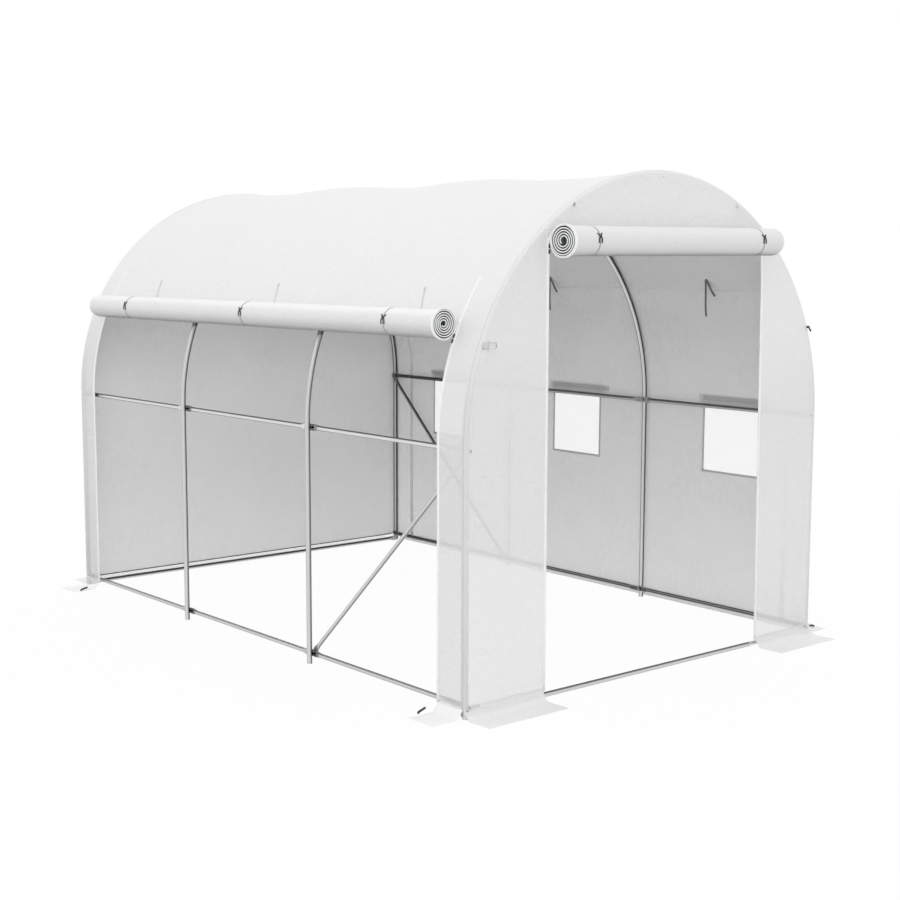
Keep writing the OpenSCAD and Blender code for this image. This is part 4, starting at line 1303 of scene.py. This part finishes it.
for middle in window_middles:
    across_y = spread(middle - (window_w + BORDER_W) / 2, middle + (window_w + BORDER_W) / 2, TAPE_STEP)
    up_s = spread(net_lo.z + BORDER_W / 2, net_hi.z - BORDER_W / 2, TAPE_STEP)
    for s in (net_lo.z, net_hi.z):
        level = on_skin(np.full(len(across_y), s), across_y, -SHEET_T / 2)
        border_parts.append(ribbon(level, (0, 0, 1), BORDER_W, BORDER_T))
    for y in (across_y[0] + BORDER_W / 2, across_y[-1] - BORDER_W / 2):
        upright = on_skin(up_s, np.full(len(up_s), y), -SHEET_T / 2)
        border_parts.append(ribbon(upright, (0, 1, 0), BORDER_W, BORDER_T))
trim("window_borders", border_parts, border_tape)

# Window flaps: each opening's own piece of sheet, sewn on along its top, rolled up outside above it
# and held by two white loops.
FLAP_D, FLAP_CORE_R, FLAP_TIGHT, FLAP_TURNS, FLAP_NARROW = 0.037, 0.007, 1.0, 1.5, -0.04
FLAP_EXTRA, FLAP_SEED, FLAP_STEP = 0.025, 9.0, 0.06
# Where the flap is sewn on above the roll's middle, and how far off the wall
SEWN_HIGH, SEWN_LOW, SEWN_OUT = 0.026, 0.008, 0.0024
# The loops: their place along the roll, where they start and end on the wall, and how they lie on the roll
FLAP_LOOP, LOOP_LOW, LOOP_HIGH, LOOP_OUT = 0.11, 0.021, 0.030, 0.0028
LOOP_W, LOOP_T, LOOP_LIFT, LOOP_UNDER, LOOP_OVER = 0.012, 0.0016, 0.001, -105, 95
flap_lo, flap_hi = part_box("window_flap_rolls")
flap_length = flap_hi.y - flap_lo.y - 2 * bay + FLAP_EXTRA
flap_x = flap_hi.x - FLAP_D / 2
flap_z = (flap_lo.z + flap_hi.z) / 2
flap_meshes, loop_parts = [], []
for i, middle in enumerate(window_middles):
    wall = on_skin(np.array([flap_z + SEWN_HIGH, flap_z + SEWN_LOW]), middle, SEWN_OUT)
    flap = Roll(
        origin=(flap_x, middle, flap_z), along=(0, 1, 0), out=(1, 0, 0), radius=FLAP_D / 2,
        core_r=FLAP_CORE_R, length=flap_length,
        lead=np.stack([wall[:, 0] - flap_x, wall[:, 2] - flap_z], -1),
        tight_turns=FLAP_TIGHT, open_turns=FLAP_TURNS, ties=(-FLAP_LOOP, FLAP_LOOP),
        seed=FLAP_SEED + i, flare=FLAP_NARROW)
    flap_meshes.append(flap.mesh(f"window_flap_{i}", side_sheet, roll_inside_shade, FLAP_STEP))
    for at in flap.ties:
        low, high = on_skin(np.array([flap_z - LOOP_LOW, flap_z + LOOP_HIGH]), middle + at, LOOP_OUT)
        over = [flap.outside(at, a, LOOP_LIFT) for a in np.linspace(LOOP_UNDER, LOOP_OVER, 32)]
        loop_parts.append(ribbon([low] + over + [high], flap.along, LOOP_W, LOOP_T))
all_flaps = bmesh.new()
for mesh in flap_meshes:
    all_flaps.from_mesh(mesh)
flap_mesh = flap_meshes[0].copy()
all_flaps.to_mesh(flap_mesh)
all_flaps.free()
flaps = show("window_flaps", flap_mesh)
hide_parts("window_flap_rolls")
trim("flap_loops", loop_parts, white_tape)

# Zips: a row of moulded teeth on woven tape along the right side's front and back edge,
# closing it to its strips. Tape and teeth are the same pale blue.
ROW_SIZES = {"Pitch": 0.004, "Length": 0.0026, "Width": 0.007, "Height": 0.003}
ZIP_W, ZIP_T, ZIP_END_GAP, ZIP_STEP = 0.024, 0.0022, 0.01, 0.02
ZIP_BLUE = (0.85, 0.88, 0.92, 1)
zip_tape = tape_material("zip_tape", ZIP_BLUE)
row_tree, row_size, row_end = size_tool("blocks_along_a_line", ROW_SIZES)
row_curve = add_node(row_tree, "GeometryNodeMeshToCurve", {"Mesh": row_size["Geometry"]})
row_points = add_node(
    row_tree, "GeometryNodeResampleCurve", {"Curve": row_curve.outputs[0], "Length": row_size["Pitch"]},
    mode="LENGTH")
block_size = add_node(
    row_tree, "ShaderNodeCombineXYZ",
    {"X": row_size["Length"], "Y": row_size["Width"], "Z": row_size["Height"]})
block = add_node(row_tree, "GeometryNodeMeshCube", {"Size": block_size.outputs[0]})
along = add_node(row_tree, "GeometryNodeInputTangent")
out_way = add_node(row_tree, "GeometryNodeInputNamedAttribute", {"Name": "out"}, data_type="FLOAT_VECTOR")
turned = add_node(row_tree, "FunctionNodeAlignRotationToVector", {"Vector": along.outputs[0]}, axis="X")
tilted = add_node(
    row_tree, "FunctionNodeAlignRotationToVector",
    {"Rotation": turned.outputs[0], "Vector": out_way.outputs["Attribute"]}, axis="Z", pivot_axis="X")
blocks = add_node(row_tree, "GeometryNodeInstanceOnPoints", {
    "Points": row_points.outputs[0], "Instance": block.outputs["Mesh"], "Rotation": tilted.outputs[0]})
end_tool(row_tree, blocks.outputs[0], zip_tape, row_end)


def lines_mesh(name, lines, outs):
    """Open lines of points with the outward direction at each."""
    edges, start = [], 0
    for one in lines:
        edges += [(start + i, start + i + 1) for i in range(len(one) - 1)]
        start += len(one)
    return points_mesh(name, np.concatenate(lines), edges, out=np.concatenate(outs))


zip_s = spread(HEM_Z + ZIP_END_GAP, eave_s - ZIP_END_GAP, ZIP_STEP)
_, _, out_x, out_z = skin(zip_s)
zip_out = np.stack([out_x, np.zeros(len(out_x)), out_z], -1)
zip_lines = [on_skin(zip_s, np.full(len(zip_s), y), -SHEET_T / 2) for y in (strip_edge, -strip_edge)]
zip_parts = [ribbon(one, (0, 1, 0), ZIP_W, ZIP_T) for one in zip_lines]
trim("side_zips", zip_parts, zip_tape)
zip_teeth = grow("zip_teeth", lines_mesh("teeth_lines", zip_lines, [zip_out, zip_out]), row_tree, ROW_SIZES)

# Zip sliders: small dark blocks left at the top of the open edges, two of them one above the other
# at the doorway's left-hand edge and two on the left front strip.
SLIDER_L, SLIDER_GAP, SLIDER_W, SLIDER_T, SLIDER_OUT = 0.0145, 0.005, 0.0075, 0.006, 0.003
DOOR_SLIDER_Z, SIDE_SLIDER_ANGLE = 1.660, 21.0
slider_x, slider_y = -door_half + 0.007, strip_edge + 0.004
slider_parts = []
for step in (0, SLIDER_L + SLIDER_GAP):
    slid = np.linspace(step, step + SLIDER_L, 4)
    on_door = on_front(np.full(4, slider_x), DOOR_SLIDER_Z + slid, SLIDER_OUT)
    slider_parts.append(ribbon(on_door, (1, 0, 0), SLIDER_W, SLIDER_T))
    slid_s = skin_length - at_angle(SIDE_SLIDER_ANGLE) - slid
    on_strip = on_skin(slid_s, np.full(4, slider_y), SLIDER_OUT)
    slider_parts.append(ribbon(on_strip, (0, 1, 0), SLIDER_W, SLIDER_T))
trim("zip_sliders", slider_parts, webbing)

# Loose ties of the closed side: a doubled length of webbing sewn in under the roof in each bay,
# one hanging in two tails inside and one lying on the sheet outside.
LOOSE_W, LOOSE_T = 0.0105, 0.0013
LOOSE_TOP, LOOSE_FOOT, LOOSE_STEP, LOOSE_OUT = 35, 23, 0.015, 0.0014
LONG_TAIL, SHORT_TAIL = 0.160, 0.094
# Each tail's run from top to end, how it sways, and how far in front of its seam it starts
LONG_RUN, SHORT_RUN = (-0.004, -0.012, -LONG_TAIL), (-0.004, -0.059, -0.074)
TAIL_SWAY, TAIL_IN, TAIL_LIFT = 0.004, 0.004, 0.004
FRONT_BAY_Y, FRONT_SHIFT, OTHER_SHIFT = -0.4, 0.014, 0.004
LOOSE_GREY = (0.19, 0.19, 0.195, 1)
loose_webbing = tape_material("tie_webbing_loose", LOOSE_GREY, WEBBING_ROUGHNESS)
loose_parts = []
loose_lo, loose_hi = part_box("right_tie_straps")
fall = np.linspace(0, 1, 14)[:, None]
sway = np.concatenate([TAIL_SWAY * np.sin(5 * fall), TAIL_SWAY * np.sin(4 * fall), 0 * fall], 1)
outer_s = spread(at_angle(LOOSE_TOP - 1), at_angle(LOOSE_FOOT), LOOSE_STEP)
for middle in np.linspace(loose_lo.y + TIE_NODE_W / 2, loose_hi.y - TIE_NODE_W / 2, 3):
    shift = FRONT_SHIFT if middle < FRONT_BAY_Y else OTHER_SHIFT
    top = on_skin(at_angle(LOOSE_TOP), middle - shift, -TAIL_IN)
    long_tail = top + sway + fall * np.array(LONG_RUN)
    short_tail = top + (0, 0, TAIL_LIFT) + sway + fall * np.array(SHORT_RUN)
    outside = on_skin(outer_s, np.full(len(outer_s), middle), LAYER + LOOSE_OUT)
    for tail, across in ((long_tail, (0, 1, 0.05)), (short_tail, (0, 1, -0.6)), (outside, (0, 1, 0))):
        loose_parts.append(ribbon(tail, across, LOOSE_W, LOOSE_T))
loose_ties = trim("loose_side_ties", loose_parts, loose_webbing, "right_tie_straps")

# Loops on the front panels for tying the door back: on the left a white tape sewn flat and standing out in
# a loop, and on the right a short dark hook.
LOOP_FROM, LOOP_TO, LOOP_Z, LOOP_R = -0.890, -0.861, 1.337, 0.0155
STANDING_W, STANDING_T, STANDING_OUT = 0.012, 0.0026, 0.006
# The loop's sewn-flat end is a real tape, painted grey as the painted shade of the loop over it
TAB_FROM, TAB_TO, TAB_W, TAB_T, TAB_OUT = LOOP_FROM - 0.030, LOOP_FROM + 0.004, 0.024, 0.0016, 0.0015
TAB_SHADE_GREY = (0.7, 0.7, 0.7, 1)
turn = np.linspace(math.pi / 2, -math.pi / 2, 13)
loop_x = np.concatenate([[LOOP_FROM], LOOP_TO + LOOP_R * np.cos(turn), [LOOP_FROM]])
loop_z = np.concatenate([[LOOP_Z + LOOP_R], LOOP_Z + LOOP_R * np.sin(turn), [LOOP_Z - LOOP_R]])
standing = ribbon(on_front(loop_x, loop_z, STANDING_OUT), (0, 1, 0), STANDING_W, STANDING_T)
tab = ribbon(on_front(np.linspace(TAB_FROM, TAB_TO, 5), LOOP_Z, TAB_OUT), (0, 0, 1), TAB_W, TAB_T)
DARK_HOOK = ((0.909, 1.352), (0.913, 1.359), (0.918, 1.357), (0.926, 1.346), (0.934, 1.337))
DARK_HOOK_W, DARK_HOOK_T = 0.007, 0.0055
hook_line = [on_front(x, z, STANDING_OUT) for x, z in DARK_HOOK]
dark_hook = ribbon(hook_line, (0, 1, 0), DARK_HOOK_W, DARK_HOOK_T)
trim("front_loop_0", [standing], white_tape)
trim("front_loop_tab", [tab], tape_material("loop_tab_shade_tape", TAB_SHADE_GREY))
trim("front_loop_1", [dark_hook], webbing)

# Ground pegs: dark steel wire bent over at one end, holding the skirts near the corners.
# Each lies on its skirt and bends down to the ground at its outer end.
PEG_DARK, PEG_LIGHT = (0.05, 0.05, 0.055, 1), (0.13, 0.13, 0.14, 1)
PEG_D, PEG_Z = 0.008, 0.0092
# Along the bend, and its height there
PEG_BEND = ((0.0, 0.0044), (0.0015, 0.0065), (0.004, 0.0083), (0.008, PEG_Z), (0.03, PEG_Z))
# Each peg's outer and inner end
PEGS = (
    ((-1.080, -1.324), (-1.026, -1.297)), ((-1.094, 1.337), (-1.044, 1.371)),
    ((1.120, -1.419), (1.066, -1.392)), ((1.094, 1.337), (1.044, 1.371)))
peg_steel, tree, shader = new_material("peg_steel")
place = add_node(tree, "ShaderNodeTexCoord").outputs["Object"]
scale = add_node(tree, "ShaderNodeTexNoise", {"Vector": place, "Scale": 90.0, "Detail": 4.0})
peg_tone = ramp(tree, scale.outputs["Fac"], [(0.35, PEG_DARK), (0.7, PEG_LIGHT)])
tree.links.new(peg_tone, shader.inputs["Base Color"])
shader.inputs["Metallic"].default_value = 0.8
shader.inputs["Roughness"].default_value = 0.5
peg_parts = []
for outer, inner in PEGS:
    way = unit(np.subtract(inner, outer))
    run, height = np.array([*PEG_BEND, (math.dist(inner, outer), PEG_Z)]).T
    peg_line = np.column_stack([np.add(outer, run[:, None] * way), height])
    peg_parts.append(ribbon(peg_line, (-way[1], way[0], 0), PEG_D, PEG_D))
trim("bent_pegs", peg_parts, peg_steel, "skirt_pegs")

bpy.context.view_layer.update()
